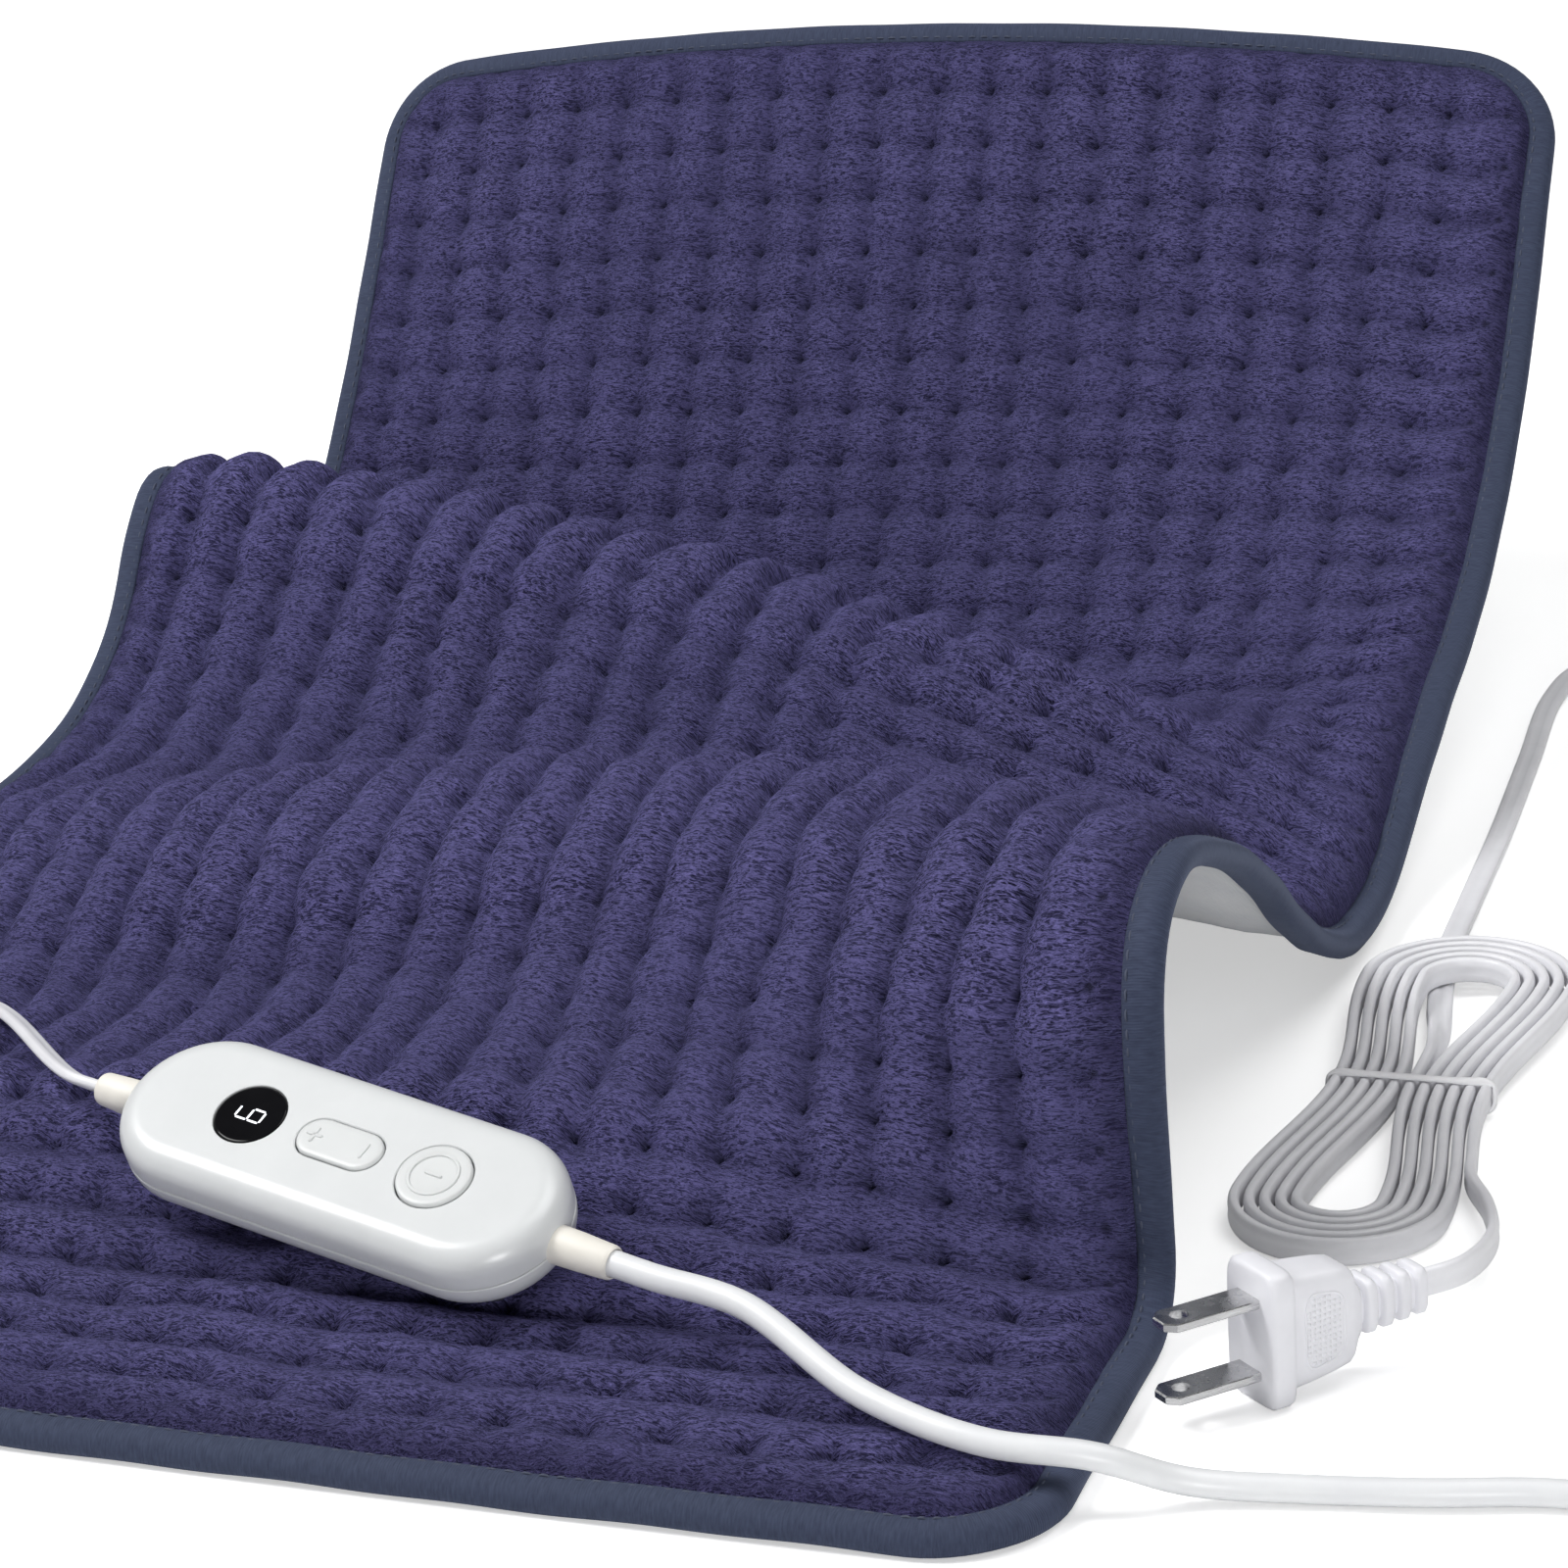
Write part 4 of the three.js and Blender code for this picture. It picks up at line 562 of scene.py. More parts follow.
def fill(tree, made, values):
    """Set a node's sockets to values and colours, or join them to other sockets"""
    for key, value in values.items():
        socket = made.inputs[key]
        if isinstance(value, bpy.types.NodeSocket):
            tree.links.new(value, socket)
        else:
            socket.default_value = (*value, 1) if socket.type == "RGBA" else value
    return made


def node(tree, kind, values=None, **choices):
    """A shader node with its choices made and its sockets filled"""
    made = tree.nodes.new(kind)
    for key, choice in choices.items():
        setattr(made, key, choice)
    return fill(tree, made, values or {})


def math_node(tree, operation, first, second=0.5):
    return node(tree, "ShaderNodeMath", {0: first, 1: second}, operation=operation).outputs[0]


def mapped(tree, value, low, high, new_low, new_high):
    made = node(tree, "ShaderNodeMapRange", {
        "Value": value, "From Min": low, "From Max": high, "To Min": new_low, "To Max": new_high})
    return made.outputs["Result"]


def weighted(tree, first, first_share, second, second_share):
    """The sum of two values, each times its share"""
    parts = [math_node(tree, "MULTIPLY", value, share)
             for value, share in ((first, first_share), (second, second_share))]
    return math_node(tree, "ADD", *parts)


def mixed_colour(tree, share, first, second):
    made = node(tree, "ShaderNodeMix", data_type="RGBA")
    return fill(tree, made, {0: share, 6: first, 7: second}).outputs[2]


def uv_of(tree, name):
    return node(tree, "ShaderNodeUVMap", uv_map=name).outputs["UV"]


def object_place(tree):
    return node(tree, "ShaderNodeTexCoord").outputs["Object"]


def new_group(name, outputs):
    """A shader node group with a Vector input and value outputs"""
    tree = bpy.data.node_groups.new(name, "ShaderNodeTree")
    tree.interface.new_socket("Vector", in_out="INPUT", socket_type="NodeSocketVector")
    for output in outputs:
        tree.interface.new_socket(output, in_out="OUTPUT", socket_type="NodeSocketFloat")
    return tree, tree.nodes.new("NodeGroupInput").outputs["Vector"], tree.nodes.new("NodeGroupOutput")


def grouped(tree, name, vector):
    """A node of a shared group, fed with a vector"""
    made = tree.nodes.new("ShaderNodeGroup")
    made.node_tree = bpy.data.node_groups[name]
    tree.links.new(vector, made.inputs["Vector"])
    return made.outputs


def scaled(tree, vector, scale):
    return node(tree, "ShaderNodeMapping", {"Vector": vector, "Scale": scale}).outputs["Vector"]


def noise(tree, vector, scale, detail=2.0, roughness=0.5, distortion=0.0):
    made = node(tree, "ShaderNodeTexNoise", {
        "Vector": vector, "Scale": scale, "Detail": detail, "Roughness": roughness,
        "Distortion": distortion})
    return made.outputs["Fac"]


def make_groups():
    """The shared effects: plush pile, quilting points, tape ribs, woven cloth, moulded grain and brushing"""
    tree, vector, out = new_group("plush pile", ("Height", "Tone", "Patch"))
    layers = []
    for size, bend in (((420, 1500, 1), 0.8), ((780, 2300, 1), 0.6)):
        curls = noise(tree, scaled(tree, vector, size), 1.0, 2.0, 0.55, bend)
        ridged = math_node(tree, "ABSOLUTE", math_node(tree, "SUBTRACT", curls, 0.5))
        layers.append(mapped(tree, ridged, 0.0, 0.13, 1.0, 0.0))
    height = weighted(tree, layers[0], 0.6, layers[1], 0.4)
    fill(tree, out, {
        # Tone follows the height: painted highlight on the curl tops, painted shade between them
        "Height": height, "Tone": mapped(tree, height, 0.24, 0.72, 0.0, 1.0),
        "Patch": mapped(tree, noise(tree, vector, 22.0, 3.0, 0.6, 0.6), 0.32, 0.68, 0.0, 1.0)})

    # Mask round each quilting point, used for the painted shade in the pits
    tree, vector, out = new_group("quilting points", ("Pit",))
    parts = node(tree, "ShaderNodeSeparateXYZ", {"Vector": vector}).outputs
    squares = []
    for axis in ("X", "Y"):
        nearest = math_node(tree, "ROUND", parts[axis], 0.0)
        offset = math_node(tree, "ABSOLUTE", math_node(tree, "SUBTRACT", parts[axis], nearest))
        squares.append(math_node(tree, "MULTIPLY", offset, offset))
    away = math_node(tree, "SQRT", math_node(tree, "ADD", *squares))
    fill(tree, out, {"Pit": mapped(tree, away, 0.028, 0.088, 1.0, 0.0)})

    tree, vector, out = new_group("tape ribs", ("Height", "Tone"))
    ribs = node(tree, "ShaderNodeTexWave", {
        "Vector": scaled(tree, vector, (1, 0.25, 1)), "Scale": 700.0, "Distortion": 1.0, "Detail": 2.0,
        "Detail Scale": 1.5}, bands_direction="X").outputs["Fac"]
    threads = noise(tree, scaled(tree, vector, (2400, 320, 1)), 1.0, 2.0, 0.6)
    fill(tree, out, {"Height": weighted(tree, ribs, 0.6, threads, 0.4),
                     "Tone": mapped(tree, threads, 0.3, 0.7, 0.0, 1.0)})

    tree, vector, out = new_group("woven cloth", ("Height", "Tone"))
    waves = [node(tree, "ShaderNodeTexWave", {
        "Vector": vector, "Scale": 420.0, "Distortion": 0.6, "Detail": 1.0},
        bands_direction=axis).outputs["Fac"] for axis in ("X", "Y")]
    fill(tree, out, {"Height": math_node(tree, "MAXIMUM", *waves),
                     "Tone": mapped(tree, noise(tree, vector, 45.0, 4.0, 0.6), 0.3, 0.7, 0.0, 1.0)})

    tree, vector, out = new_group("moulded grain", ("Height", "Tone"))
    fill(tree, out, {"Height": noise(tree, vector, 2600.0, 2.0, 0.5),
                     "Tone": mapped(tree, noise(tree, vector, 70.0, 4.0, 0.65), 0.3, 0.7, 0.0, 1.0)})

    tree, vector, out = new_group("brushed metal", ("Height", "Tone"))
    strokes = noise(tree, scaled(tree, vector, (300, 300, 3200)), 1.0, 3.0, 0.6)
    fill(tree, out, {"Height": strokes, "Tone": mapped(tree, strokes, 0.3, 0.7, 0.0, 1.0)})


def new_material(name):
    """An empty material with a Principled BSDF"""
    material = bpy.data.materials.new(name)
    material.use_nodes = True
    tree = material.node_tree
    return material, tree, tree.nodes["Principled BSDF"]


def bumped(tree, height, strength, distance):
    values = {"Strength": strength, "Distance": distance, "Height": height}
    return node(tree, "ShaderNodeBump", values).outputs["Normal"]


def plush_material():
    material, tree, shader = new_material("navy plush")
    pile = grouped(tree, "plush pile", uv_of(tree, "cloth"))
    pit_shade = grouped(tree, "quilting points", uv_of(tree, "quilting"))["Pit"]
    full = node(tree, "ShaderNodeSeparateXYZ", {"Vector": uv_of(tree, "fullness")}).outputs["X"]
    # The pile's tone follows its height: curl tops painted lighter and the gaps between curls darker, painted
    # highlight and painted shade in the pile
    colour = mixed_colour(tree, pile["Tone"], (0.005, 0.004, 0.022), (0.200, 0.180, 0.460))
    for share, tint in ((math_node(tree, "MULTIPLY", pile["Patch"], 0.22), (0.105, 0.096, 0.270)),
                        # painted shade: the grooves, where the plush is least full, are darkened
                        (mapped(tree, full, 0.05, 0.85, 0.72, 0.0), (0.014, 0.011, 0.045)),
                        # painted shade: the quilting pits are darkened
                        (math_node(tree, "MULTIPLY", pit_shade, 0.95), (0.008, 0.007, 0.022))):
        colour = mixed_colour(tree, share, colour, tint)
    fill(tree, shader, {
        "Base Color": colour, "Normal": bumped(tree, pile["Height"], 1.0, 0.0014), "Roughness": 0.92,
        "Specular IOR Level": 0.15, "Sheen Weight": 0.22, "Sheen Roughness": 0.40,
        "Sheen Tint": (0.42, 0.42, 0.95)})
    return material


def binding_material():
    material, tree, shader = new_material("slate binding tape")
    ribs = grouped(tree, "tape ribs", uv_of(tree, "run"))
    fill(tree, shader, {
        "Base Color": mixed_colour(tree, ribs["Tone"], (0.026, 0.034, 0.066), (0.044, 0.056, 0.100)),
        "Normal": bumped(tree, ribs["Height"], 0.45, 0.00015), "Roughness": 0.82, "Specular IOR Level": 0.25,
        "Sheen Weight": 0.12, "Sheen Tint": (0.6, 0.7, 1.0)})
    return material


def cloth_material(name, dark, light):
    material, tree, shader = new_material(name)
    weave = grouped(tree, "woven cloth", object_place(tree))
    fill(tree, shader, {
        "Base Color": mixed_colour(tree, weave["Tone"], dark, light),
        "Normal": bumped(tree, weave["Height"], 0.4, 0.0003), "Roughness": 0.9, "Specular IOR Level": 0.2})
    return material


def moulded_material(name, dark, light, roughness, bump=0.12, coat=0.0, shine=0.5):
    """Moulded plastic or rubber with a fine grain and faint handling marks"""
    material, tree, shader = new_material(name)
    grain = grouped(tree, "moulded grain", object_place(tree))
    fill(tree, shader, {
        "Base Color": mixed_colour(tree, grain["Tone"], dark, light),
        "Roughness": mapped(tree, grain["Tone"], 0.0, 1.0, roughness * 0.96, min(1, roughness * 1.04)),
        "Normal": bumped(tree, grain["Height"], bump, 0.0001), "Specular IOR Level": shine,
        "Coat Weight": coat, "Coat Roughness": 0.15})
    return material


def metal_material(name, dark, light, roughness):
    material, tree, shader = new_material(name)
    strokes = grouped(tree, "brushed metal", object_place(tree))
    fill(tree, shader, {
        "Base Color": mixed_colour(tree, strokes["Tone"], dark, light),
        "Roughness": mapped(tree, strokes["Tone"], 0.0, 1.0, roughness * 0.8, roughness * 1.3),
        "Normal": bumped(tree, strokes["Height"], 0.1, 0.0001), "Metallic": 1.0})
    return material


def lit_material():
    """Lit segments of the display"""
    material, tree, shader = new_material("lit segments")
    grain = grouped(tree, "moulded grain", object_place(tree))
    colour = mixed_colour(tree, grain["Tone"], (0.86, 0.90, 1.0), (1.0, 1.0, 1.0))
    fill(tree, shader, {"Base Color": colour, "Emission Color": colour, "Emission Strength": 0.75})
    return material


# Moulded finishes by record slot: name, darker and lighter tone, roughness, and what differs from the usual
MOULDED = {
    "heater_insulation": ("heater insulation", (0.74, 0.70, 0.62), (0.80, 0.76, 0.68), 0.6, {}),
    "splice_plastic": ("splice block", (0.74, 0.74, 0.74), (0.82, 0.82, 0.82), 0.5, {}),
    "cutout_sleeve": ("cut-out sleeve", (0.02, 0.02, 0.02), (0.04, 0.04, 0.04), 0.5, {}),
    "sleeve_rubber": ("cream sleeve", (0.79, 0.76, 0.69), (0.84, 0.81, 0.75), 0.48, {}),
    "housing_plastic": ("white housing", (0.65, 0.665, 0.67), (0.68, 0.695, 0.70), 0.30,
                        {"bump": 0.04, "coat": 0.12}),
    "board_laminate": ("board laminate", (0.015, 0.09, 0.04), (0.025, 0.14, 0.06), 0.4, {}),
    "black_plastic": ("black plastic", (0.008, 0.008, 0.009), (0.016, 0.016, 0.018), 0.5, {}),
    "fuse_glass": ("fuse tube", (0.72, 0.72, 0.70), (0.82, 0.82, 0.80), 0.15, {}),
    "capacitor_box": ("film capacitor", (0.42, 0.26, 0.08), (0.52, 0.34, 0.11), 0.45, {}),
    "capacitor_can": ("capacitor can", (0.10, 0.12, 0.20), (0.14, 0.16, 0.26), 0.35, {}),
    "window_black": ("display window", (0.003, 0.003, 0.004), (0.006, 0.006, 0.007), 0.09,
                     {"bump": 0.01, "shine": 0.12}),
    "lead_jacket": ("white lead jacket", (0.74, 0.75, 0.77), (0.79, 0.80, 0.81), 0.34, {"bump": 0.05}),
    "cord_jacket": ("white cord jacket", (0.76, 0.76, 0.79), (0.83, 0.83, 0.86), 0.40, {"bump": 0.06}),
    "tie_plastic": ("tie", (0.76, 0.76, 0.78), (0.83, 0.83, 0.85), 0.4, {"bump": 0.05}),
    "plug_plastic": ("white plug", (0.75, 0.75, 0.79), (0.81, 0.81, 0.85), 0.42, {"bump": 0.10}),
    "key_plastic": ("white keys", (0.635, 0.65, 0.65), (0.665, 0.68, 0.68), 0.36, {"bump": 0.05}),
    "stem_plastic": ("switch stem", (0.68, 0.65, 0.58), (0.76, 0.73, 0.67), 0.5, {}),
    "binding_thread": ("binding thread", (0.040, 0.050, 0.085), (0.062, 0.074, 0.115), 0.7, {"bump": 0.3}),
}


def make_materials():
    """Every material of the object, by its record slot or its own name"""
    made = {slot: moulded_material(*finish, **apart) for slot, (*finish, apart) in MOULDED.items()}
    made["plush"] = plush_material()
    made["binding_tape"] = binding_material()
    made["backing_cloth"] = cloth_material("white backing", (0.74, 0.76, 0.80), (0.86, 0.87, 0.89))
    made["carrier_cloth"] = cloth_material("heater carrier", (0.70, 0.69, 0.66), (0.80, 0.79, 0.76))
    made["pin_steel"] = metal_material("plated steel", (0.50, 0.51, 0.52), (0.62, 0.63, 0.64), 0.3)
    made["blade_metal"] = metal_material("blade metal", (0.52, 0.52, 0.53), (0.70, 0.70, 0.71), 0.25)
    made["lit_segments"] = lit_material()
    return made


MATERIALS = {}

# Controller details in its own frame: x along it towards the lead, z up from its base
PARTING = 0.007
LEAD_SLEEVE = 0.011
MAINS_SLEEVE = 0.009
WINDOW_X = -0.0185
WINDOW_RADIUS = 0.0065
ROCKER_X = 0.001
ROCKER_LENGTH = 0.017
ROCKER_WIDTH = 0.0082
POWER_X = 0.021
POWER_RADIUS = 0.0067

# CAD parts inside the pad and the controller that keep their own shape, by material slot
INSIDE = {
    "carrier_cloth": ("heater_carrier",),
    "heater_insulation": ("heater_wire",),
    "splice_plastic": ("lead_splice",),
    "cutout_sleeve": ("thermal_cutout_1", "thermal_cutout_2"),
    "board_laminate": ("circuit_board",),
    "black_plastic": ("display_module", "microcontroller", "triac",
                      "plus_switch", "minus_switch", "power_switch"),
    "fuse_glass": ("fuse",),
    "capacitor_box": ("film_capacitor",),
    "capacitor_can": ("electrolytic_capacitor",),
    "stem_plastic": ("plus_switch_stem", "minus_switch_stem", "power_switch_stem"),
    "pin_steel": ("rocker_pin", "housing_screw_1", "housing_screw_2", "housing_screw_3", "housing_screw_4"),
}


# Placing


def controller_matrix(controller):
    turn = Matrix.Rotation(controller.tilt, 4, "X") @ Matrix.Rotation(controller.heading, 4, "Z")
    return Matrix.Translation(controller.place) @ turn


def on_sleeve_line(controller, x):
    """A point on the line along which the cords leave the housing"""
    return np.array(controller_matrix(controller) @ Vector((x, 0, PARTING)))


PAD_TOPS = []


def pad_top(x, y, reach=0.015):
    """Highest point of the CAD pad near a place in plan"""
    if not PAD_TOPS:
        for name in ("top_cover", "edge_binding"):
            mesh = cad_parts[name].data
            points = np.empty(3 * len(mesh.vertices))
            mesh.vertices.foreach_get("co", points)
            PAD_TOPS.append(points.reshape(-1, 3))
    points = np.concatenate(PAD_TOPS)
    near = np.hypot(points[:, 0] - x, points[:, 1] - y) < reach
    return float(points[near, 2].max()) if near.any() else 0.0


def over_pad(plan, half_height, lift=0.0):
    """Points of a cord lying on the plush, the first of them lifted"""
    places = np.array(plan) + ORIGIN[:2]
    points = [np.array((x, y, pad_top(x, y) + half_height + PLUSH_GAP)) for x, y in places]
    points[0][2] += lift
    return points


def on_floor(plan, half_height):
    """Points of a cord lying on the floor, or risen from it where the route says so"""
    return [np.array((x, y, half_height + (rise[0] if rise else FLOOR_GAP))) + ORIGIN for x, y, *rise in plan]


# Hank of mains cord

HANK_PLACE = np.array((0.1785, 0.1945, 0.0))
HANK_HEADING = math.radians(2.4)
HANK_LENGTH = 0.145
HANK_WIDTH = 0.043
HANK_WAIST_DRAW = 0.006
HANK_TURNS = 5
LOOP_STEPS = 24
HANK_FAR_LIFT = 0.0029
HANK_PITCH = 0.00275
HANK_CORD = 0.002
HANK_CORD_WIDTH = 0.005
HANK_STRAIGHT = (HANK_LENGTH - HANK_WIDTH) / 2
HANK_TAIL_Y = 0.010
HANK_ENTRY_Y = -0.026
TIE_GAP = 0.0006
TIE_THICKNESS = 0.0009
TIE_WIDTH = 0.0018


def hank_height(y):
    return HANK_CORD_WIDTH / 2 + HANK_FAR_LIFT * (y / HANK_LENGTH + 0.5)


def waist_x(half, y):
    return half - HANK_WAIST_DRAW * math.cos(math.pi / 2 * y / HANK_STRAIGHT) ** 2


def hank_point(step):
    """One loop takes 24 steps: half a straight, far bend, a straight, near bend and half a straight"""
    half = HANK_WIDTH / 2 - HANK_CORD / 2 - HANK_PITCH * step / LOOP_STEPS
    k = step % LOOP_STEPS
    if k <= 2 or k >= 22:
        y = (k if k <= 2 else k - LOOP_STEPS) * HANK_STRAIGHT / 2
        x = waist_x(half, y)
    elif k < 10:
        angle = math.pi * (k - 2) / 8
        x = half * math.cos(angle)
        y = HANK_STRAIGHT + half * math.sin(angle)
    elif k <= 14:
        y = HANK_STRAIGHT * (12 - k) / 2
        x = -waist_x(half, y)
    else:
        angle = math.pi * (k - 14) / 8
        x = -half * math.cos(angle)
        y = -HANK_STRAIGHT - half * math.sin(angle)
    return x, y, hank_height(y)


def hank_place(points):
    """Points of the hank's own frame in the row frame"""
    turn = np.array(Matrix.Rotation(HANK_HEADING, 3, "Z"))
    return np.asarray(points) @ turn.T + HANK_PLACE + ORIGIN


def hank_line():
    """The hank's strand from its outer end to its inner tail"""
    fine = 10
    line = [hank_point(step / fine) for step in range(LOOP_STEPS * fine * HANK_TURNS + 1)]
    outer = HANK_WIDTH / 2 - HANK_CORD / 2
    entry_line = np.linspace(HANK_ENTRY_Y - HANK_CORD, -0.001, 20)
    entry = [(waist_x(outer, y), y, hank_height(y)) for y in entry_line]
    inner_x = line[-1][0]
    tail = [(inner_x, y, hank_height(y)) for y in np.linspace(0.001, HANK_TAIL_Y + HANK_CORD, 8)]
    return np.array(entry + line + tail)


# Cords

GLAND_ACROSS = -0.100
GLAND_HEIGHT = 0.0035
GLAND_LENGTH = 0.024
CORD_GAP = 0.0003
CORD_STEP = 0.0016
LEAN_AT_CONTROLLER = 0.6

# Sections of the gland as (share of its length, width, height), from the pad outwards
GLAND_SECTIONS = (
    (0.0, 0.0150, 0.0062), (0.03, 0.0160, 0.0070), (0.20, 0.0158, 0.0070), (0.30, 0.0140, 0.0069),
    (0.38, 0.0105, 0.0068), (0.44, 0.0088, 0.0067), (0.50, 0.0083, 0.0066), (0.56, 0.0088, 0.0069),
    (0.62, 0.0080, 0.0064), (0.68, 0.0085, 0.0068), (0.74, 0.0077, 0.0063), (0.80, 0.0081, 0.0066),
    (0.86, 0.0074, 0.0063), (0.97, 0.0072, 0.0063), (1.0, 0.0066, 0.0058),
)


def gland_seat(context):
    """Where the lead enters the pad's near edge"""
    return PadSurface(context.scene.heating_pad).fold(np.array(GLAND_ACROSS), np.array(0.0))


def make_lead(context):
    """Round pad lead from the controller over the pad's corner and round on the floor to the gland"""
    cords = context.scene.heating_cords
    controller = context.scene.heating_controller
    half = cords.lead_diameter / 2
    start = controller.length / 2 + LEAD_SLEEVE + CORD_GAP
    seat = gland_seat(context)
    end = np.array((seat[0], seat[1] - GLAND_LENGTH - 2 * CORD_GAP, GLAND_HEIGHT))
    points = [on_sleeve_line(controller, start + ahead) for ahead in (-0.006, 0, 0.008)]
    points += over_pad(LEAD_OVER_PAD, half, lift=0.0035) + on_floor(LEAD_ON_FLOOR, half)
    points += [end - (0, 0.008, 0), end, end + (0, 0.006, 0)]
    path = through(points, 0.002)
    lead = sweep("pad_lead_cord", path, circle_section(half, 28))
    add_piece(lead, "lead_jacket", "pad_lead")
    print("pad lead length %.3f m" % distances(path)[-1])


def make_gland(context):
    """Moulded gland where the lead enters the pad's near edge"""
    seat = gland_seat(context)
    angle = turns(40)
    rings = []
    for share, width, height in GLAND_SECTIONS:
        x = seat[0] + bulge(np.cos(angle), 0.7) * width / 2
        z = GLAND_HEIGHT + bulge(np.sin(angle), 0.7) * height / 2
        y = np.full(len(angle), seat[1] - CORD_GAP - share * GLAND_LENGTH)
        rings.append(np.stack([x, y, z], 1))
    add_piece(skin("lead_gland", rings), "sleeve_rubber", "pad_lead_gland")


def make_mains(context):
    """Flat twin mains cord from the controller, round the pad's near side, through its hank to the plug"""
    cords = context.scene.heating_cords
    controller = context.scene.heating_controller
    half = cords.cord_thickness / 2
    start = -controller.length / 2 - MAINS_SLEEVE - CORD_GAP
    strand = hank_place(hank_line()[::-1])
    points = [on_sleeve_line(controller, start - ahead) for ahead in (-0.006, 0, 0.006)]
    points += over_pad(MAINS_OVER_PAD, half) + on_floor(MAINS_ON_FLOOR, half)
    points += [strand[0] + unit(strand[0] - strand[1]) * 0.004, strand[0]]
    run = through(points, CORD_STEP)
    hank = evenly(strand, CORD_STEP)
    route = [np.array(place) + ORIGIN for place in PLUG_CORD_ROUTE]
    out = [hank[-1], hank[-1] + unit(hank[-1] - hank[-6]) * 0.008, *route]
    out += [on_plug(PLUG_END + before) for before in (0.008, 0, -0.008)]
    path = np.concatenate([run, hank[1:], through(out, CORD_STEP)[1:]])
    far = distances(path)
    hank_start = far[len(run) - 1]
    turn = smooth_step(hank_start - 0.045, hank_start + 0.004, far) * math.pi / 2
    turn -= LEAN_AT_CONTROLLER * (1 - smooth_step(0.05, 0.16, far))
    cord = sweep("mains_cord_run", path, twin_section(cords.cord_width, cords.cord_thickness), turn)
    add_piece(cord, "cord_jacket", "mains_cord", "mains_cord_hank", "plug_cord")
    print("mains cord length %.3f m" % far[-1])
    return cord, path


def make_tie():
    """Thin flat tie round the hank's waist, a little wavy"""
    reach = HANK_CORD_WIDTH / 2 + TIE_GAP
    left = -waist_x(HANK_WIDTH / 2 - HANK_PITCH / 2, 0) - TIE_GAP
    right = waist_x(HANK_WIDTH / 2, 0) + TIE_GAP
    middle = (left + right) / 2
    angle = turns(120)
    x = middle + bulge(np.cos(angle), 0.28) * (right - left) / 2
    z = bulge(np.sin(angle), 0.45) * reach + hank_height(0)
    y = 0.0006 * np.sin(3 * angle) + 0.0005 * np.cos(angle)
    line = hank_place(np.stack([x, y, z], 1))
    around = turns(12)
    along = unit(np.roll(line, -1, 0) - np.roll(line, 1, 0))
    centre = hank_place(np.array([(middle, 0, hank_height(0))]))
    out = line - centre
    out = unit(out - along * (out * along).sum(1)[:, None])
    side = np.cross(along, out)
    thick = TIE_THICKNESS / 2 * np.cos(around)[:, None]
    wide = TIE_WIDTH / 2 * np.sin(around)[:, None]
    rings = [line[k] + thick * out[k] + wide * side[k] for k in range(len(line))]
    return add_piece(skin("hank_tie_band", rings, closed_rings=True), "tie_plastic", "hank_tie")


# Plug

PLUG_PLACE = np.array((0.186, 0.071, 0.012))
PLUG_HEADING = math.radians(51)
PLUG_END = 0.0330
RIBS = 4
RIBS_START = 0.0194
RIB_PITCH = 0.0034
PANEL_START = 0.0056
PANEL_DEPTH = 0.00548
PANEL_SLOPE = (0.0110 - 0.0101) / 2 / 0.0094
PANEL_MIDDLE = 0.0112
PANEL_TAPER = 0.18
STUD_PITCH = 0.0010
SUNK_FOOT = -0.0003
BLADE_WIDTH = 0.00635
BLADE_SPACING = 0.0127
BLADE_ROOT = 0.004
BLADE_TIP = -0.0173
BLADE_HOLE = 0.0016

# Sections of the plug's body as (distance from its face, height, depth, power of its rounding)
PLUG_SECTIONS = (
    (0.0, 0.0222, 0.0122, 0.30), (0.0003, 0.0232, 0.0132, 0.30), (0.0009, 0.0240, 0.0140, 0.30),
    (0.0036, 0.0240, 0.0140, 0.30), (0.0044, 0.0235, 0.0135, 0.30), (0.0047, 0.0228, 0.0127, 0.30),
    (0.0049, 0.0206, 0.0114, 0.34), (0.0056, 0.0200, 0.0110, 0.36), (0.0090, 0.0196, 0.0108, 0.38),
    (0.0140, 0.0184, 0.0103, 0.40), (0.0168, 0.0172, 0.0099, 0.40), (0.0176, 0.0160, 0.0094, 0.42),
    (0.0186, 0.0112, 0.0084, 0.46), (0.0192, 0.0098, 0.0078, 0.48),
)


def plug_matrix():
    return Matrix.Translation(Vector(PLUG_PLACE + ORIGIN)) @ Matrix.Rotation(PLUG_HEADING, 4, "Z")


def on_plug(x):
    """A point on the plug's axis"""
    return np.array(plug_matrix() @ Vector((x, 0, 0)))


def rounded_square(height, depth, x, power, sides=56):
    """Points round one section of the plug"""
    angle = turns(sides)
    y = bulge(np.cos(angle), power) * depth / 2
    z = bulge(np.sin(angle), power) * height / 2
    return np.stack([np.full(sides, x), y, z], 1)


def make_plug_body():
    """Two-blade plug: face flange, tapering body with grip panels, and a ribbed strain relief"""
    sections = list(PLUG_SECTIONS)
    for rib in range(RIBS):
        start = RIBS_START + rib * RIB_PITCH
        full = 1 - 0.04 * rib
        sections += [(start, 0.0066, 0.0054, 0.55), (start + 0.0010, 0.0066, 0.0054, 0.55),
                     (start + 0.0012, 0.0090 * full, 0.0074 * full, 0.50),
                     (start + 0.0016, 0.0096 * full, 0.0080 * full, 0.48),
                     (start + 0.0028, 0.0096 * full, 0.0080 * full, 0.48),
                     (start + 0.0032, 0.0090 * full, 0.0074 * full, 0.50)]
    body = skin("plug_body_moulding", [rounded_square(h, d, x, power) for x, h, d, power in sections])
    plug = joined("plug_moulding", [sharpen(body, 50)] + grip_panel(-1) + grip_panel(1))
    return add_piece(put(plug, plug_matrix()), "plug_plastic", "plug_body")


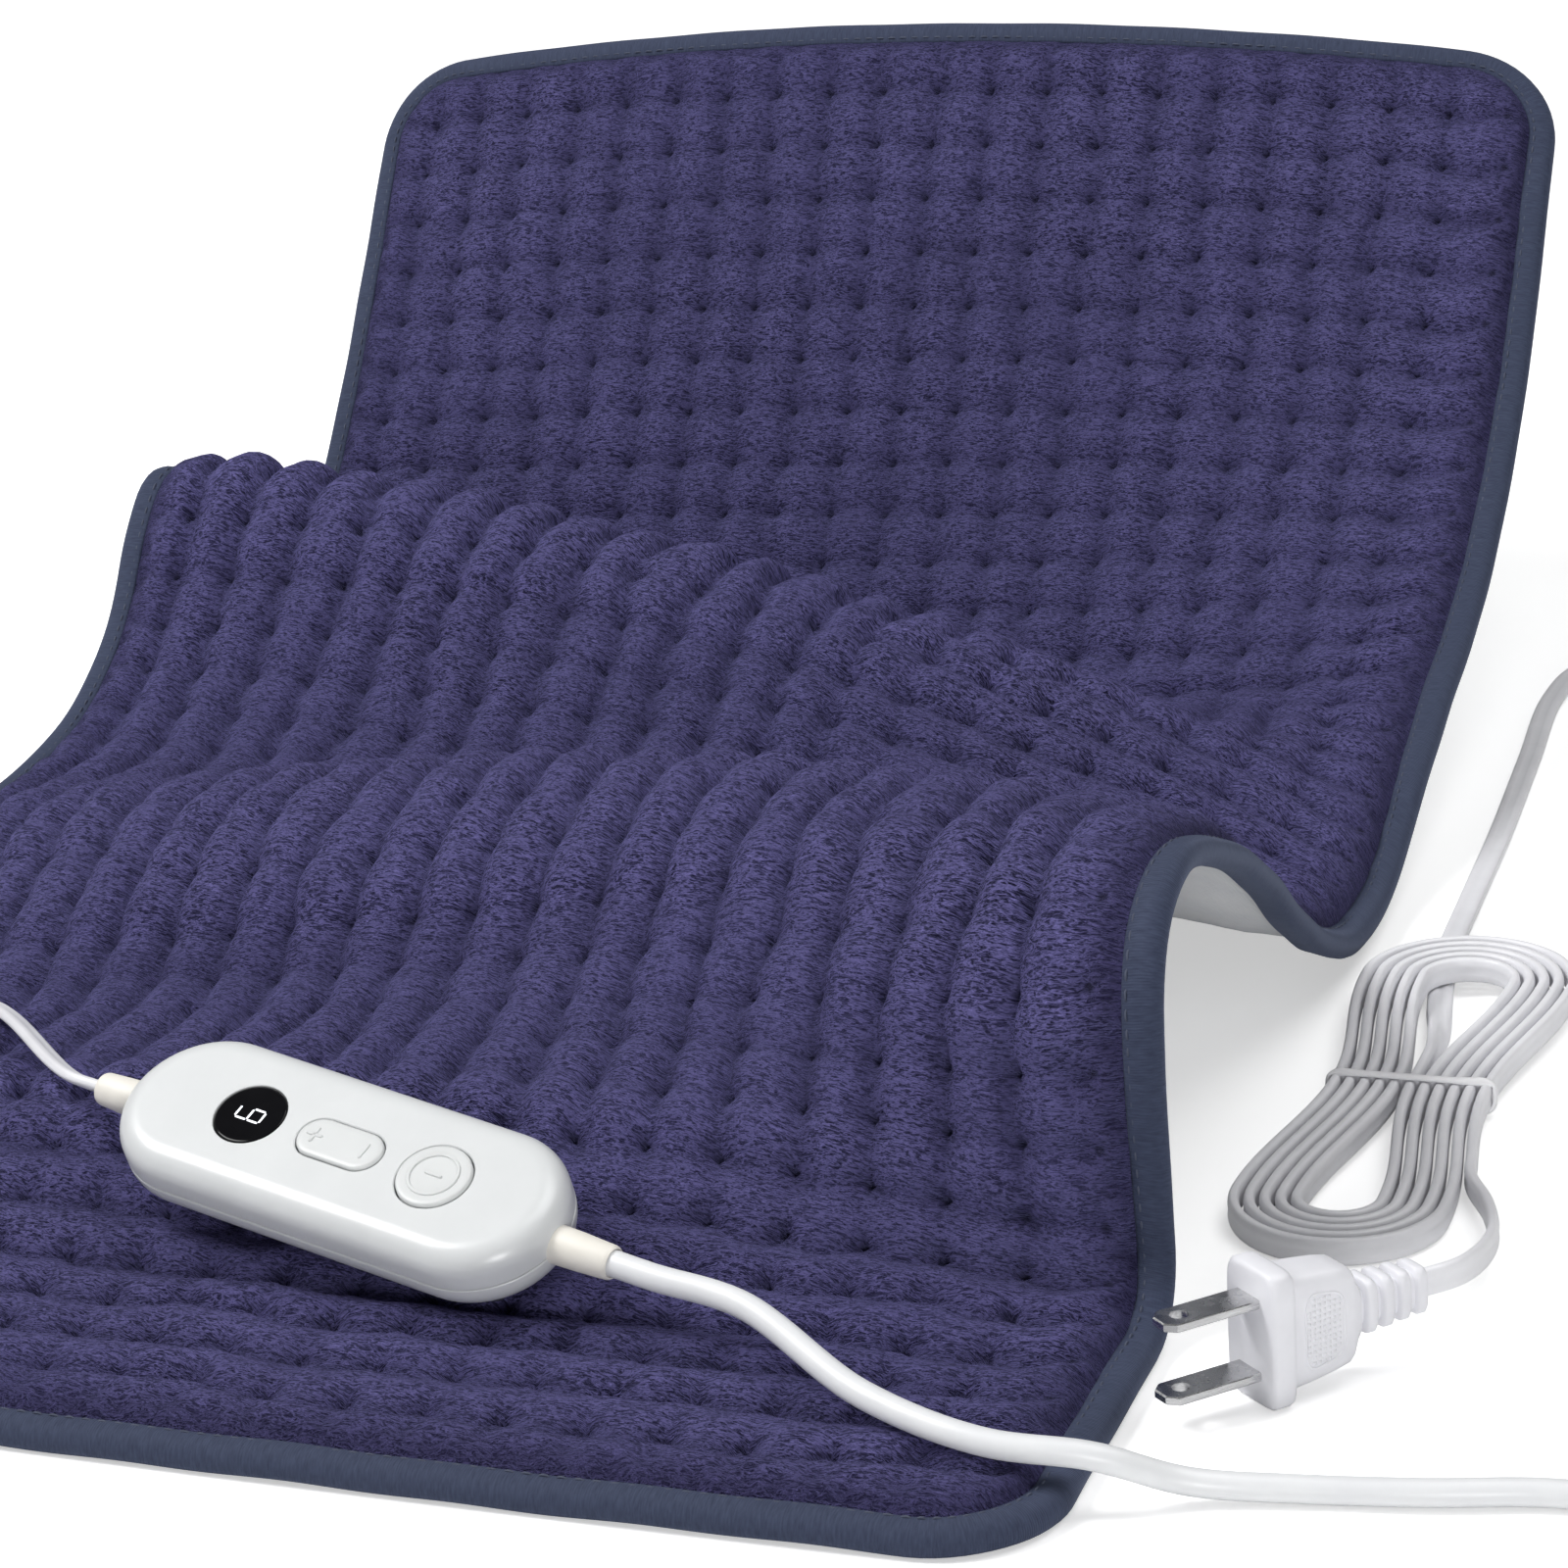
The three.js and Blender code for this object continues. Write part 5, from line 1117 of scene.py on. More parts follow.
def grip_panel(side):
    """A raised outline with a fine grid of studs on one broad side of the plug"""
    def on_side(x, z, lift):
        return np.array((x, side * (PANEL_DEPTH - (x - PANEL_START) * PANEL_SLOPE + lift), z))

    def square(x, z, half, lift):
        return [on_side(x + a * half, z + b * half, lift) for a, b in ((-1, -1), (1, -1), (1, 1), (-1, 1))]

    angle = turns(72)
    x = PANEL_MIDDLE + bulge(np.cos(angle), 0.5) * 0.0041
    z = bulge(np.sin(angle), 0.5) * (0.0064 - (x - PANEL_MIDDLE) * PANEL_TAPER)
    rim = []
    for px, pz in zip(x, z):
        inward = unit(np.array((PANEL_MIDDLE - px, 0, -pz)))
        rim.append([on_side(px, pz, lift) + inward * draw for lift, draw in (
            (SUNK_FOOT, 0), (0.00012, 0), (0.0002, 0.00012), (0.00012, 0.0004), (SUNK_FOOT, 0.0004))])
    pieces = [skin("rim", rim, closed_rings=True)]
    for row in np.arange(-0.0056, 0.0057, STUD_PITCH):
        for column in np.arange(-0.0033, 0.0034, STUD_PITCH):
            if (abs(column) / 0.0037) ** 3 + (abs(row) / (0.0058 - column * PANEL_TAPER)) ** 3 < 1:
                foot = square(PANEL_MIDDLE + column, row, 0.0004, SUNK_FOOT)
                head = square(PANEL_MIDDLE + column, row, 0.00028, 0.00018)
                pieces.append(skin("stud", [foot, head]))
    return pieces


def make_blade(number, side):
    """A flat blade with a chamfered tip, rounded edges and a hole"""
    half = BLADE_WIDTH / 2
    tip = BLADE_TIP
    chamfer = 0.0016
    outline = [(BLADE_ROOT, -half), (BLADE_ROOT, half), (tip + chamfer, half), (tip, half - chamfer),
               (tip, chamfer - half), (tip + chamfer, -half)]
    middle = np.array((-0.0065, 0.0))

    def ring(draw, z):
        found = []
        for corner in outline:
            away = np.array(corner) - middle
            found.append((*(middle + away * (1 - draw / np.linalg.norm(away) * 1.2)), z))
        return found

    edge = 0.00022
    thick = 0.00075
    rings = [ring(edge, -thick), ring(0, edge - thick), ring(0, thick - edge), ring(edge, thick)]
    blade = skin("plug_blade_%d_metal" % number, rings)
    hole = lathe("hole", [(BLADE_HOLE, -0.004), (BLADE_HOLE, 0.004)], 40)
    cut(blade, [put(hole, Matrix.Translation((tip + 0.004, 0, 0)))])
    sharpen(blade, 20)
    put(blade, plug_matrix() @ Matrix.Translation((0, 0, side * BLADE_SPACING / 2)))
    return add_piece(blade, "blade_metal", "plug_blade_%d" % number)


# Pad


def finer(grid):
    """A grid with a smooth point added between each two, along both of its axes"""
    for axis in (0, 1):
        g = np.moveaxis(grid, axis, 0)
        ends = np.concatenate([2 * g[:1] - g[1:2], g, 2 * g[-1:] - g[-2:-1]])
        middle = (9 * (ends[1:-2] + ends[2:-1]) - ends[:-3] - ends[3:]) / 16
        wide = np.empty((2 * len(g) - 1,) + g.shape[1:])
        wide[0::2] = g
        wide[1::2] = middle
        grid = np.moveaxis(wide, 0, axis)
    return grid


CLOTH_FRAMES = 20
CLOTH_MOVE_CAP = 0.0012
BLOWN_SHARE = 0.18
FORMED_SHARE = 0.82
PIT_DEPTH = 0.0013
PLUSH_UNDERSIDE = 0.0010
HELD_INSET = 0.0062
HELD_SINK = -0.0017


def simulate_quilt(plan, start, pinned):
    """Cloth held at its quilting points and edge, blown up from below; returns its points"""
    scale = 10.0
    columns, rows = plan.shape[:2]
    points = np.concatenate([plan, start[..., None]], -1) * scale
    mesh = bpy.data.meshes.new("quilt")
    mesh.from_pydata(points.reshape(-1, 3).tolist(), [], grid_faces(columns, rows))
    quilt = linked("quilt", mesh)
    pins = quilt.vertex_groups.new(name="pins")
    pins.add(np.flatnonzero(pinned.ravel()).tolist(), 1.0, "REPLACE")
    cloth = quilt.modifiers.new("cloth", "CLOTH")
    for setting, value in (
            ("vertex_group_mass", "pins"), ("quality", 6), ("mass", 0.15), ("tension_stiffness", 18),
            ("compression_stiffness", 12), ("shear_stiffness", 6), ("bending_stiffness", 0.3),
            ("air_damping", 3), ("shrink_min", -0.025), ("use_pressure", True),
            ("uniform_pressure_force", 4)):
        setattr(cloth.settings, setting, value)
    cloth.settings.effector_weights.gravity = 0
    cloth.collision_settings.use_collision = False
    cloth.collision_settings.use_self_collision = False
    cloth.point_cache.frame_start = 1
    cloth.point_cache.frame_end = CLOTH_FRAMES
    scene = bpy.context.scene
    for frame_number in range(1, CLOTH_FRAMES + 1):
        scene.frame_set(frame_number)
    shown = quilt.evaluated_get(bpy.context.evaluated_depsgraph_get())
    found = np.empty(3 * columns * rows)
    shown.data.vertices.foreach_get("co", found)
    scene.frame_set(1)
    bpy.data.objects.remove(quilt)
    bpy.data.meshes.remove(mesh)
    return found.reshape(columns, rows, 3) / scale


def pillow(column, row, along_rows, along_columns):
    """Rise from 0 at a quilting point to 1 mid pillow, with the share kept between neighbours each way"""
    across = np.abs(np.sin(math.pi * column)) ** 0.8
    ahead = np.abs(np.sin(math.pi * row)) ** 0.8
    return along_rows * across + along_columns * ahead - (along_rows + along_columns - 1) * across * ahead


def quilt_grids(surface, pad, parts):
    """The plush over the flat pad: its places u and s, its rise, and its place counted in quilting points"""
    across, column, along, row = quilt_lines(pad, parts)
    u, s = np.meshgrid(across, along, indexing="ij")
    u, s = surface.rounded_place(u, s)
    columns, rows = np.meshgrid(column, row, indexing="ij")
    on_point = (np.abs(columns - np.round(columns)) < 0.01) & (np.abs(rows - np.round(rows)) < 0.01)
    on_point &= (columns > -0.5) & (columns < pad.columns - 0.5) & (rows > -0.5) & (rows < pad.rows - 0.5)
    inset = surface.edge_distance(u, s)
    held = inset < HELD_INSET
    sunk = np.where(held, HELD_SINK, 0.0)
    rise = pillow(columns, rows, 0.55, 0.55) * smooth_step(0.006, 0.012, inset)
    shake = np.random.default_rng(7).normal(0, 0.00004, u.shape)
    start = sunk + np.where(on_point | held, 0, 0.5 * rise * pad.pillow_rise + shake)
    found = simulate_quilt(np.stack([u, s], -1), start, on_point | held)
    moved = np.clip(found[..., :2] - np.stack([u, s], -1), -CLOTH_MOVE_CAP, CLOTH_MOVE_CAP)
    return u + moved[..., 0], s + moved[..., 1], found[..., 2], columns, rows


def uneven(column, row, spread, seed):
    """A smooth unevenness about 1 that changes from pillow to pillow"""
    table = np.random.default_rng(seed).normal(1, spread, (40, 64))
    c = np.clip(column + 5, 0, 38)
    r = np.clip(row + 5, 0, 62)
    i, j = c.astype(int), r.astype(int)
    p, q = c - i, r - j
    return ((1 - p) * (1 - q) * table[i, j] + p * (1 - q) * table[i + 1, j]
            + (1 - p) * q * table[i, j + 1] + p * q * table[i + 1, j + 1])


def off_point(column, row):
    """Square of the distance to the nearest quilting point, counted in quilting points"""
    return (column - np.round(column)) ** 2 + (row - np.round(row)) ** 2


def bend_of(surface, u, s, reach=0.010):
    """How sharply the pad bends along its length: positive in valleys, negative on ridges"""
    before = surface.fold(u, np.clip(s - reach, 0, surface.pad.length))
    here = surface.fold(u, s)
    after = surface.fold(u, np.clip(s + reach, 0, surface.pad.length))
    first = np.arctan2(here[..., 2] - before[..., 2], here[..., 1] - before[..., 1])
    second = np.arctan2(after[..., 2] - here[..., 2], after[..., 1] - here[..., 1])
    return (second - first) / reach


def roll_shares(u, s, bend):
    """Where the plush rolls run across the pad instead of along it, and where the far side flattens them"""
    near_side = 1 - smooth_step(0.080, 0.118, s)
    right_valley = smooth_step(0.0, 0.07, u) * smooth_step(0.19, 0.22, s) * (1 - smooth_step(0.36, 0.40, s))
    far_foot = 0.7 * smooth_step(3, 20, bend) * smooth_step(0.38, 0.40, s)
    right_side = 0.8 * smooth_step(0.112, 0.135, u) * smooth_step(0.28, 0.34, s)
    rolled = np.maximum(np.maximum(near_side, right_valley), np.maximum(far_foot, right_side))
    far_side = smooth_step(0.40, 0.46, s) * (1 - rolled)
    return rolled, far_side


def formed_rise(pad, column, row, rolled, far_side, on_ridge):
    """Rise of the pillows by formula: run together into rolls, a little uneven and fuller on a ridge"""
    along_rows = 0.90 - 0.66 * rolled - 0.16 * far_side
    along_columns = 0.12 + 0.78 * rolled + 0.30 * far_side
    free = 1 - np.exp(-off_point(column, row) / 0.16 ** 2)
    aside = free * (uneven(column, row, 0.11, 5) - 1)
    ahead = free * (uneven(column, row, 0.11, 9) - 1) + 0.22 * rolled * np.abs(np.sin(math.pi * column))
    formed = pillow(column + aside, row + ahead, along_rows, along_columns) * pad.pillow_rise
    return formed * (uneven(column, row, 0.16, 3) * (1 + 0.30 * on_ridge - 0.30 * far_side))


def plush_height(surface, pad, u, s, rise, column, row):
    """Height of the plush above the pad's underside, from its simulated rise and its formed one"""
    inset = surface.edge_distance(u, s)
    quilted = smooth_step(0.009, 0.016, inset)
    full = np.percentile(rise[quilted > 0.99], 95)
    print("simulated rise %.2f mm" % (full / MM))
    bend = bend_of(surface, u, s)
    formed = formed_rise(pad, column, row, *roll_shares(u, s, bend), smooth_step(2, 20, -bend))
    blown = np.maximum(rise, 0) * pad.pillow_rise / max(full, 0.0005)
    puffed = np.where(rise > 0, BLOWN_SHARE * blown + FORMED_SHARE * formed, rise)
    rise = rise * (1 - quilted) + puffed * quilted
    inside = (column > -0.4) & (column < pad.columns - 0.6) & (row > -0.4) & (row < pad.rows - 0.6)
    rise = rise - np.where(inside, PIT_DEPTH * np.exp(-off_point(column, row) / 0.065 ** 2), 0)
    height = np.maximum(pad.weld_height + rise, np.where(inset < 0.010, 0.0026, 0.0036))
    return np.where(inset < 0.0055, 0.0027, height)


def make_plush(context):
    """Plush cover blown up between its quilting points, laid over the pad's folds"""
    pad = context.scene.heating_pad
    surface = PadSurface(pad)
    u, s, rise, column, row = (finer(grid) for grid in quilt_grids(surface, pad, 5))
    height = plush_height(surface, pad, u, s, rise, column, row)
    top = surface.point(u, s, height)
    under = surface.point(u, s, np.full(u.shape, PLUSH_UNDERSIDE))
    plush = closed_sheet("plush_cover", under, top)
    # How full the plush is at each point, kept as a UV map for the painted shade in its grooves
    fullness = np.clip((height - pad.weld_height) / pad.pillow_rise, 0, 1)
    for name, first, second in (("cloth", u, s), ("quilting", column, row), ("fullness", fullness, fullness)):
        write_uv(plush, name, np.tile(np.stack([first.ravel(), second.ravel()], 1), (2, 1)))
    add_piece(plush, "plush", "top_cover")


def make_backing(context):
    """White backing cloth under the pad, dented at the quilting points"""
    pad = context.scene.heating_pad
    surface = PadSurface(pad)
    across, column, along, row = quilt_lines(pad, 4)
    u, s = np.meshgrid(across, along, indexing="ij")
    u, s = surface.rounded_place(u, s)
    column, row = np.meshgrid(column, row, indexing="ij")
    dent = np.exp(-off_point(column, row) / 0.2 ** 2)
    dent *= smooth_step(0.010, 0.016, surface.edge_distance(u, s))
    ripple = 0.00012 * np.sin(7.3 * column + 2.1 * np.sin(1.7 * row)) * np.sin(5.9 * row + 1.3 * column)
    low = surface.point(u, s, 0.00015 + 0.00055 * dent + np.abs(ripple))
    high = surface.point(u, s, np.full(u.shape, 0.00098))
    backing = closed_sheet("backing_sheet", low, high)
    add_piece(backing, "backing_cloth", "bottom_cover")


def make_binding(context):
    """Tape folded round the pad's edge, with its row of stitches"""
    pad = context.scene.heating_pad
    surface = PadSurface(pad)
    w = pad.binding_width
    section = ((w, 0.0029), (w + 0.0001, 0.0033), (w - 0.0004, 0.0036), (0.0042, 0.0038), (0.0030, 0.0038),
               (0.0018, 0.0035), (0.0009, 0.0030), (0.0003, 0.0022), (0.0, 0.0013), (0.0, 0.0004),
               (0.0003, -0.0005), (0.0010, -0.0011), (0.0020, -0.00135), (w - 0.0004, -0.00145),
               (w, -0.0012), (w, -0.0005), (0.0009, -0.0005), (0.0009, 0.0029))
    count = 760
    rings = np.empty((count, len(section), 3))
    for k, (inset, height) in enumerate(section):
        u, s, place = surface.outline(inset, count)
        wave = 0.00012 * np.sin(place * 210) + 0.00010 * np.sin(place * 83 + 1.0)
        rings[:, k] = surface.point(u, s, height + wave)
    binding = skin("edge_tape", list(rings), closed_rings=True)
    around = np.linspace(0, 0.02, len(section))
    uv = np.stack([np.repeat(place, len(section)), np.tile(around, count)], 1)
    write_uv(binding, "run", uv)
    add_piece(binding, "binding_tape", "edge_binding")
    make_stitches(surface, w)


def make_stitches(surface, binding_width):
    """Row of thread along the binding's inner edge"""
    fine = 4200
    u, s, place = surface.outline(binding_width - 0.0012, fine)
    line = surface.point(u, s, np.full(fine, 0.00375))
    normal = surface.normal(u, s)
    length = 6
    sides = 6
    turn = turns(sides)
    towards_end = np.abs(np.linspace(-1, 1, length)) ** 3
    size = 0.00024 * (1 - 0.45 * towards_end)
    pieces = []
    faces = []
    for start in range(0, fine - length, length + 1):
        take = np.arange(start, start + length)
        along = unit(line[take[-1]] - line[start])
        path = line[take] - normal[take] * (0.0004 * towards_end)[:, None]
        side = np.cross(along, normal[start])
        offset = len(pieces) * length * sides
        ring = path[:, None] + size[:, None, None] * (
            np.cos(turn)[None, :, None] * side + np.sin(turn)[None, :, None] * normal[start])
        pieces.append(ring.reshape(-1, 3))
        faces += [tuple(offset + k for k in face) for face in ring_faces(length, sides)]
    stitches = new_object("binding_stitches", np.concatenate(pieces), faces)
    add_piece(stitches, "binding_tape", material="binding_thread")


# Controller


def make_shells(context):
    """Upper and lower halves of the pill-shaped housing, with openings for the keys and window"""
    c = context.scene.heating_controller
    place = controller_matrix(c)
    middle = PARTING
    upper_profile = [(0.0020, middle + 0.00008), (0.0003, middle + 0.00008), (0.0001, middle + 0.00014),
                     (0.0, middle + 0.0003), (0.0, c.height - c.round - 0.0004)]
    upper_profile += rounded(c.round, c.height, c.round, True, 12)[1:]
    upper_profile += [(c.round + 0.0004, c.height), (c.round + 0.0012, c.height)]
    upper = pill_solid("upper_housing", c.length, c.width, upper_profile, steps=40)
    cutters = [well_round(WINDOW_X, WINDOW_RADIUS + 0.0002, c.height, 0.0030, 0.0001),
               well_round(POWER_X, POWER_RADIUS + 0.0003, c.height, 0.0034, 0.0002),
               well_pill(ROCKER_X, ROCKER_LENGTH + 0.0006, ROCKER_WIDTH + 0.0006, c.height, 0.0034, 0.0002)]
    cut(upper, cutters)
    sharpen(upper, 30)
    put(upper, place)
    add_piece(upper, "housing_plastic", "upper_shell")
    low_round = PARTING - 0.0005
    lower_profile = [(low_round + 0.0012, 0.0), (low_round + 0.0004, 0.0)]
    lower_profile += rounded(low_round, 0.0, low_round, False, 12)[::-1]
    lower_profile += [(0.0, middle - 0.0003), (0.0001, middle - 0.00014), (0.0003, middle - 0.00008),
                      (0.0020, middle - 0.00008)]
    lower = pill_solid("lower_housing", c.length, c.width, lower_profile, steps=40)
    sharpen(lower, 30)
    put(lower, place)
    add_piece(lower, "housing_plastic", "lower_shell")


def well_round(x, radius, top, depth, chamfer):
    """Cutter for a round opening with a chamfered rim"""
    well = lathe("well", [(radius, top - depth), (radius, top - chamfer), (radius + chamfer, top),
                          (radius + chamfer, top + 0.002)], 72)
    return put(well, Matrix.Translation((x, 0, 0)))


def well_pill(x, length, width, top, depth, chamfer):
    """Cutter for a pill-shaped opening with a chamfered rim"""
    return pill_solid("well", length, width, [(0, top - depth), (0, top - chamfer), (-chamfer, top),
                                              (-chamfer, top + 0.002)], x, 24)


def bar(length, width, x, y, top, angle=0.0):
    """A raised rounded bar of an embossed mark"""
    profile = [(0, top - 0.0003), (0, top + 0.00018), (width * 0.18, top + 0.00028)]
    piece = pill_solid("bar", length, width, profile, 0.0, 6)
    return put(piece, Matrix.Translation((x, y, 0)) @ Matrix.Rotation(angle, 4, "Z"))


def make_window(context):
    """Glossy black window with the lit segments of one digit"""
    c = context.scene.heating_controller
    place = controller_matrix(c)
    top = c.height - 0.0001
    window = lathe("window_disc", [(WINDOW_RADIUS, top - 0.0025), (WINDOW_RADIUS, top - 0.0003),
                                   (WINDOW_RADIUS - 0.0001, top - 0.0001), (WINDOW_RADIUS - 0.0003, top),
                                   (WINDOW_RADIUS - 0.0006, top), (WINDOW_RADIUS * 0.5, top)], 72)
    put(window, place @ Matrix.Translation((WINDOW_X, 0, 0)))
    sharpen(window, 40)
    add_piece(window, "window_black", "display_window")
    half = 0.0013
    profile = [(0.00004, top - 0.0002), (0, top + 0.00003), (0.00005, top + 0.00006)]
    segments = []
    for x, y, across in ((-2 * half, 0, True), (-half, -half, False), (0, 0, True), (half, -half, False),
                         (half, half, False), (2 * half, 0, True)):
        segment = pill_solid("segment", 2 * half - 0.0003, 0.00042, profile, 0.0, 3)
        turn = Matrix.Rotation(math.pi / 2 if across else 0.0, 4, "Z")
        segments.append(put(segment, Matrix.Translation((WINDOW_X + x, y, 0)) @ turn))
    digit = joined("display_digit", segments)
    put(digit, place)
    add_piece(digit, "window_black", material="lit_segments")


def make_rocker(context):
    """Pill-shaped rocker with an embossed plus and minus"""
    c = context.scene.heating_controller
    top = c.height + 0.0004
    profile = [(0.0002, top - 0.0026), (0.0, top - 0.0024), (0.0, top - 0.0005), (0.00008, top - 0.00025),
               (0.00025, top - 0.00008), (0.0005, top), (0.0009, top + 0.00002), (0.0014, top + 0.00003)]
    body = pill_solid("rocker", ROCKER_LENGTH, ROCKER_WIDTH, profile, ROCKER_X, 24)
    plus_x = ROCKER_X - 0.0053
    minus_x = ROCKER_X + 0.0053
    marks = [bar(0.0034, 0.0006, x, 0, top, turn)
             for x, turn in ((plus_x, 0.0), (plus_x, math.pi / 2), (minus_x, math.pi / 2))]
    rocker = joined("level_rocker_key", [sharpen(body, 40)] + marks)
    put(rocker, controller_matrix(c))
    rocker.data.shade_smooth()
    sharpen(rocker, 38)
    add_piece(rocker, "key_plastic", "level_rocker", body="rocker_key")


def make_power(context):
    """Round power button with an embossed ring and bar"""
    c = context.scene.heating_controller
    top = c.height + 0.0005
    body = lathe("power", [(POWER_RADIUS, top - 0.0030), (POWER_RADIUS, top - 0.0005),
                           (POWER_RADIUS - 0.0001, top - 0.0002), (POWER_RADIUS - 0.0003, top - 0.00005),
                           (POWER_RADIUS - 0.0006, top), (POWER_RADIUS - 0.0011, top),
                           (0.0030, top - 0.00004)], 80)
    rings = []
    for a in turns(72):
        out = np.array((math.cos(a), math.sin(a), 0))
        rings.append([out * r + (0, 0, z) for r, z in ((0.0041, top - 0.0003), (0.0041, top + 0.00018),
                                                       (0.0042, top + 0.00028), (0.0046, top + 0.00028),
                                                       (0.0047, top + 0.00018), (0.0047, top - 0.0003))])
    ring = skin("ring", rings, closed_rings=True)
    mark = bar(0.0036, 0.0006, 0, 0, top)
    power = joined("power_button_key", [body, ring, mark])
    put(power, controller_matrix(c) @ Matrix.Translation((POWER_X, 0, 0)))
    power.data.shade_smooth()
    sharpen(power, 38)
    add_piece(power, "key_plastic", "power_button", body="power_key")


def make_sleeves(context):
    """Short tapered cream sleeves where the cords leave the housing"""
    c = context.scene.heating_controller
    for name, end, showing, node_name in (("lead_sleeve_moulding", 1, LEAD_SLEEVE, "lead_sleeve"),
                                          ("mains_sleeve_moulding", -1, MAINS_SLEEVE, "mains_sleeve")):
        start = c.length / 2 - 0.006
        stop = c.length / 2 + showing
        end_face = c.length / 2
        profile = [(0.0042, start), (0.0042, start + 0.0015), (0.0034, start + 0.0018), (0.0034, end_face),
                   (0.0033, end_face + showing * 0.4), (0.0030, stop - 0.0007), (0.0029, stop - 0.0003),
                   (0.0027, stop), (0.0025, stop), (0.0023, stop - 0.0005)]
        sleeve = lathe(name, profile, 48)
        turn = Matrix.Rotation(math.pi / 2 * end, 4, "Y")
        put(sleeve, controller_matrix(c) @ Matrix.Translation((0, 0, PARTING)) @ turn)
        sharpen(sleeve, 45)
        add_piece(sleeve, "sleeve_rubber", node_name)


# Stage


def make_floor():
    """Wide pale floor that reads as plain white away from the object's shadow"""
    across = np.linspace(-4.0, 4.0, 33)
    x, y = np.meshgrid(across, across, indexing="ij")
    dip = -0.00012 - 0.00002 * (np.sin(3.1 * x) * np.cos(2.7 * y))
    points = np.stack([x, y, dip], -1).reshape(-1, 3)
    floor = new_object("studio_floor", points, grid_faces(33, 33))
    material, tree, shader = new_material("studio floor")
    place = object_place(tree)
    speckle = noise(tree, place, 900.0, 2.0, 0.5)
    seen = node(tree, "ShaderNodeLightPath").outputs["Is Camera Ray"]
    distance = node(tree, "ShaderNodeVectorMath", {"Vector": place}, operation="LENGTH").outputs["Value"]
    glow = mapped(tree, distance, 0.7, 2.2, 0.46, 0.95)
    fill(tree, shader, {
        "Base Color": mixed_colour(tree, speckle, (0.90, 0.90, 0.90), (0.93, 0.93, 0.93)), "Roughness": 0.9,
        "Specular IOR Level": 0.05, "Emission Color": (1, 1, 1),
        "Emission Strength": math_node(tree, "MULTIPLY", seen, glow)})
    floor.data.materials.append(material)


def make_light(name, place, aim, size, power):
    """A square soft light at a place, turned to a point"""
    lamp = bpy.data.lights.new(name, "AREA")
    lamp.shape = "SQUARE"
    lamp.size = size
    lamp.energy = power
    light = linked(name, lamp)
    aim = Vector(aim) - Vector(place)
    light.matrix_world = Matrix.Translation(place) @ aim.to_track_quat("-Z", "Y").to_matrix().to_4x4()


def make_world():
    """White surroundings for the camera, a softer grey for everything else"""
    world = bpy.data.worlds.new("studio")
    world.use_nodes = True
    tree = world.node_tree
    seen = node(tree, "ShaderNodeLightPath").outputs["Is Camera Ray"]
    fill(tree, tree.nodes["Background"], {
        "Color": (1, 1, 1), "Strength": mapped(tree, seen, 0.0, 1.0, 0.17, 1.0)})
    bpy.context.scene.world = world


# Operators


class HEATING_OT_camera(bpy.types.Operator):
    """Set the camera at the photograph's angle"""

    bl_idname = "heating.camera"
    bl_label = "Camera"

    def execute(self, context):
        stage = context.scene.heating_stage
        right = Vector((math.cos(stage.yaw), -math.sin(stage.yaw), 0))
        level = math.cos(stage.pitch)
        forward = Vector((math.sin(stage.yaw) * level, math.cos(stage.yaw) * level, -math.sin(stage.pitch)))
        up = right.cross(forward)
        across = math.cos(stage.roll) * right + math.sin(stage.roll) * up
        upright = math.cos(stage.roll) * up - math.sin(stage.roll) * right
        data = bpy.data.cameras.new("camera")
        data.sensor_width = 36
        data.lens = stage.lens
        data.clip_start = 0.01
        data.clip_end = 20
        data.dof.use_dof = False
        camera = linked("camera", data)
        turn = Matrix((across, upright, -forward)).transposed().to_4x4()
        camera.matrix_world = Matrix.Translation(stage.camera_place) @ turn
        context.scene.camera = camera
        return {"FINISHED"}


class HEATING_OT_cords(bpy.types.Operator):
    """Build the pad lead, the mains cord with its hank and tie, and the plug"""

    bl_idname = "heating.cords"
    bl_label = "Cords and plug"

    def execute(self, context):
        make_lead(context)
        make_gland(context)
        cord, path = make_mains(context)
        on_cord = [make_tie(), make_plug_body(), make_blade(1, -1), make_blade(2, 1)]
        return {"FINISHED"}


class HEATING_OT_pad(bpy.types.Operator):
    """Build the plush cover, the backing, and the binding with its stitches"""

    bl_idname = "heating.pad"
    bl_label = "Pad"

    def execute(self, context):
        make_plush(context)
        make_backing(context)
        make_binding(context)
        return {"FINISHED"}


class HEATING_OT_controller(bpy.types.Operator):
    """Build the controller's housing, window, keys and sleeves"""

    bl_idname = "heating.controller"
    bl_label = "Controller"

    def execute(self, context):
        make_shells(context)
        make_window(context)
        make_rocker(context)
        make_power(context)
        make_sleeves(context)
        return {"FINISHED"}


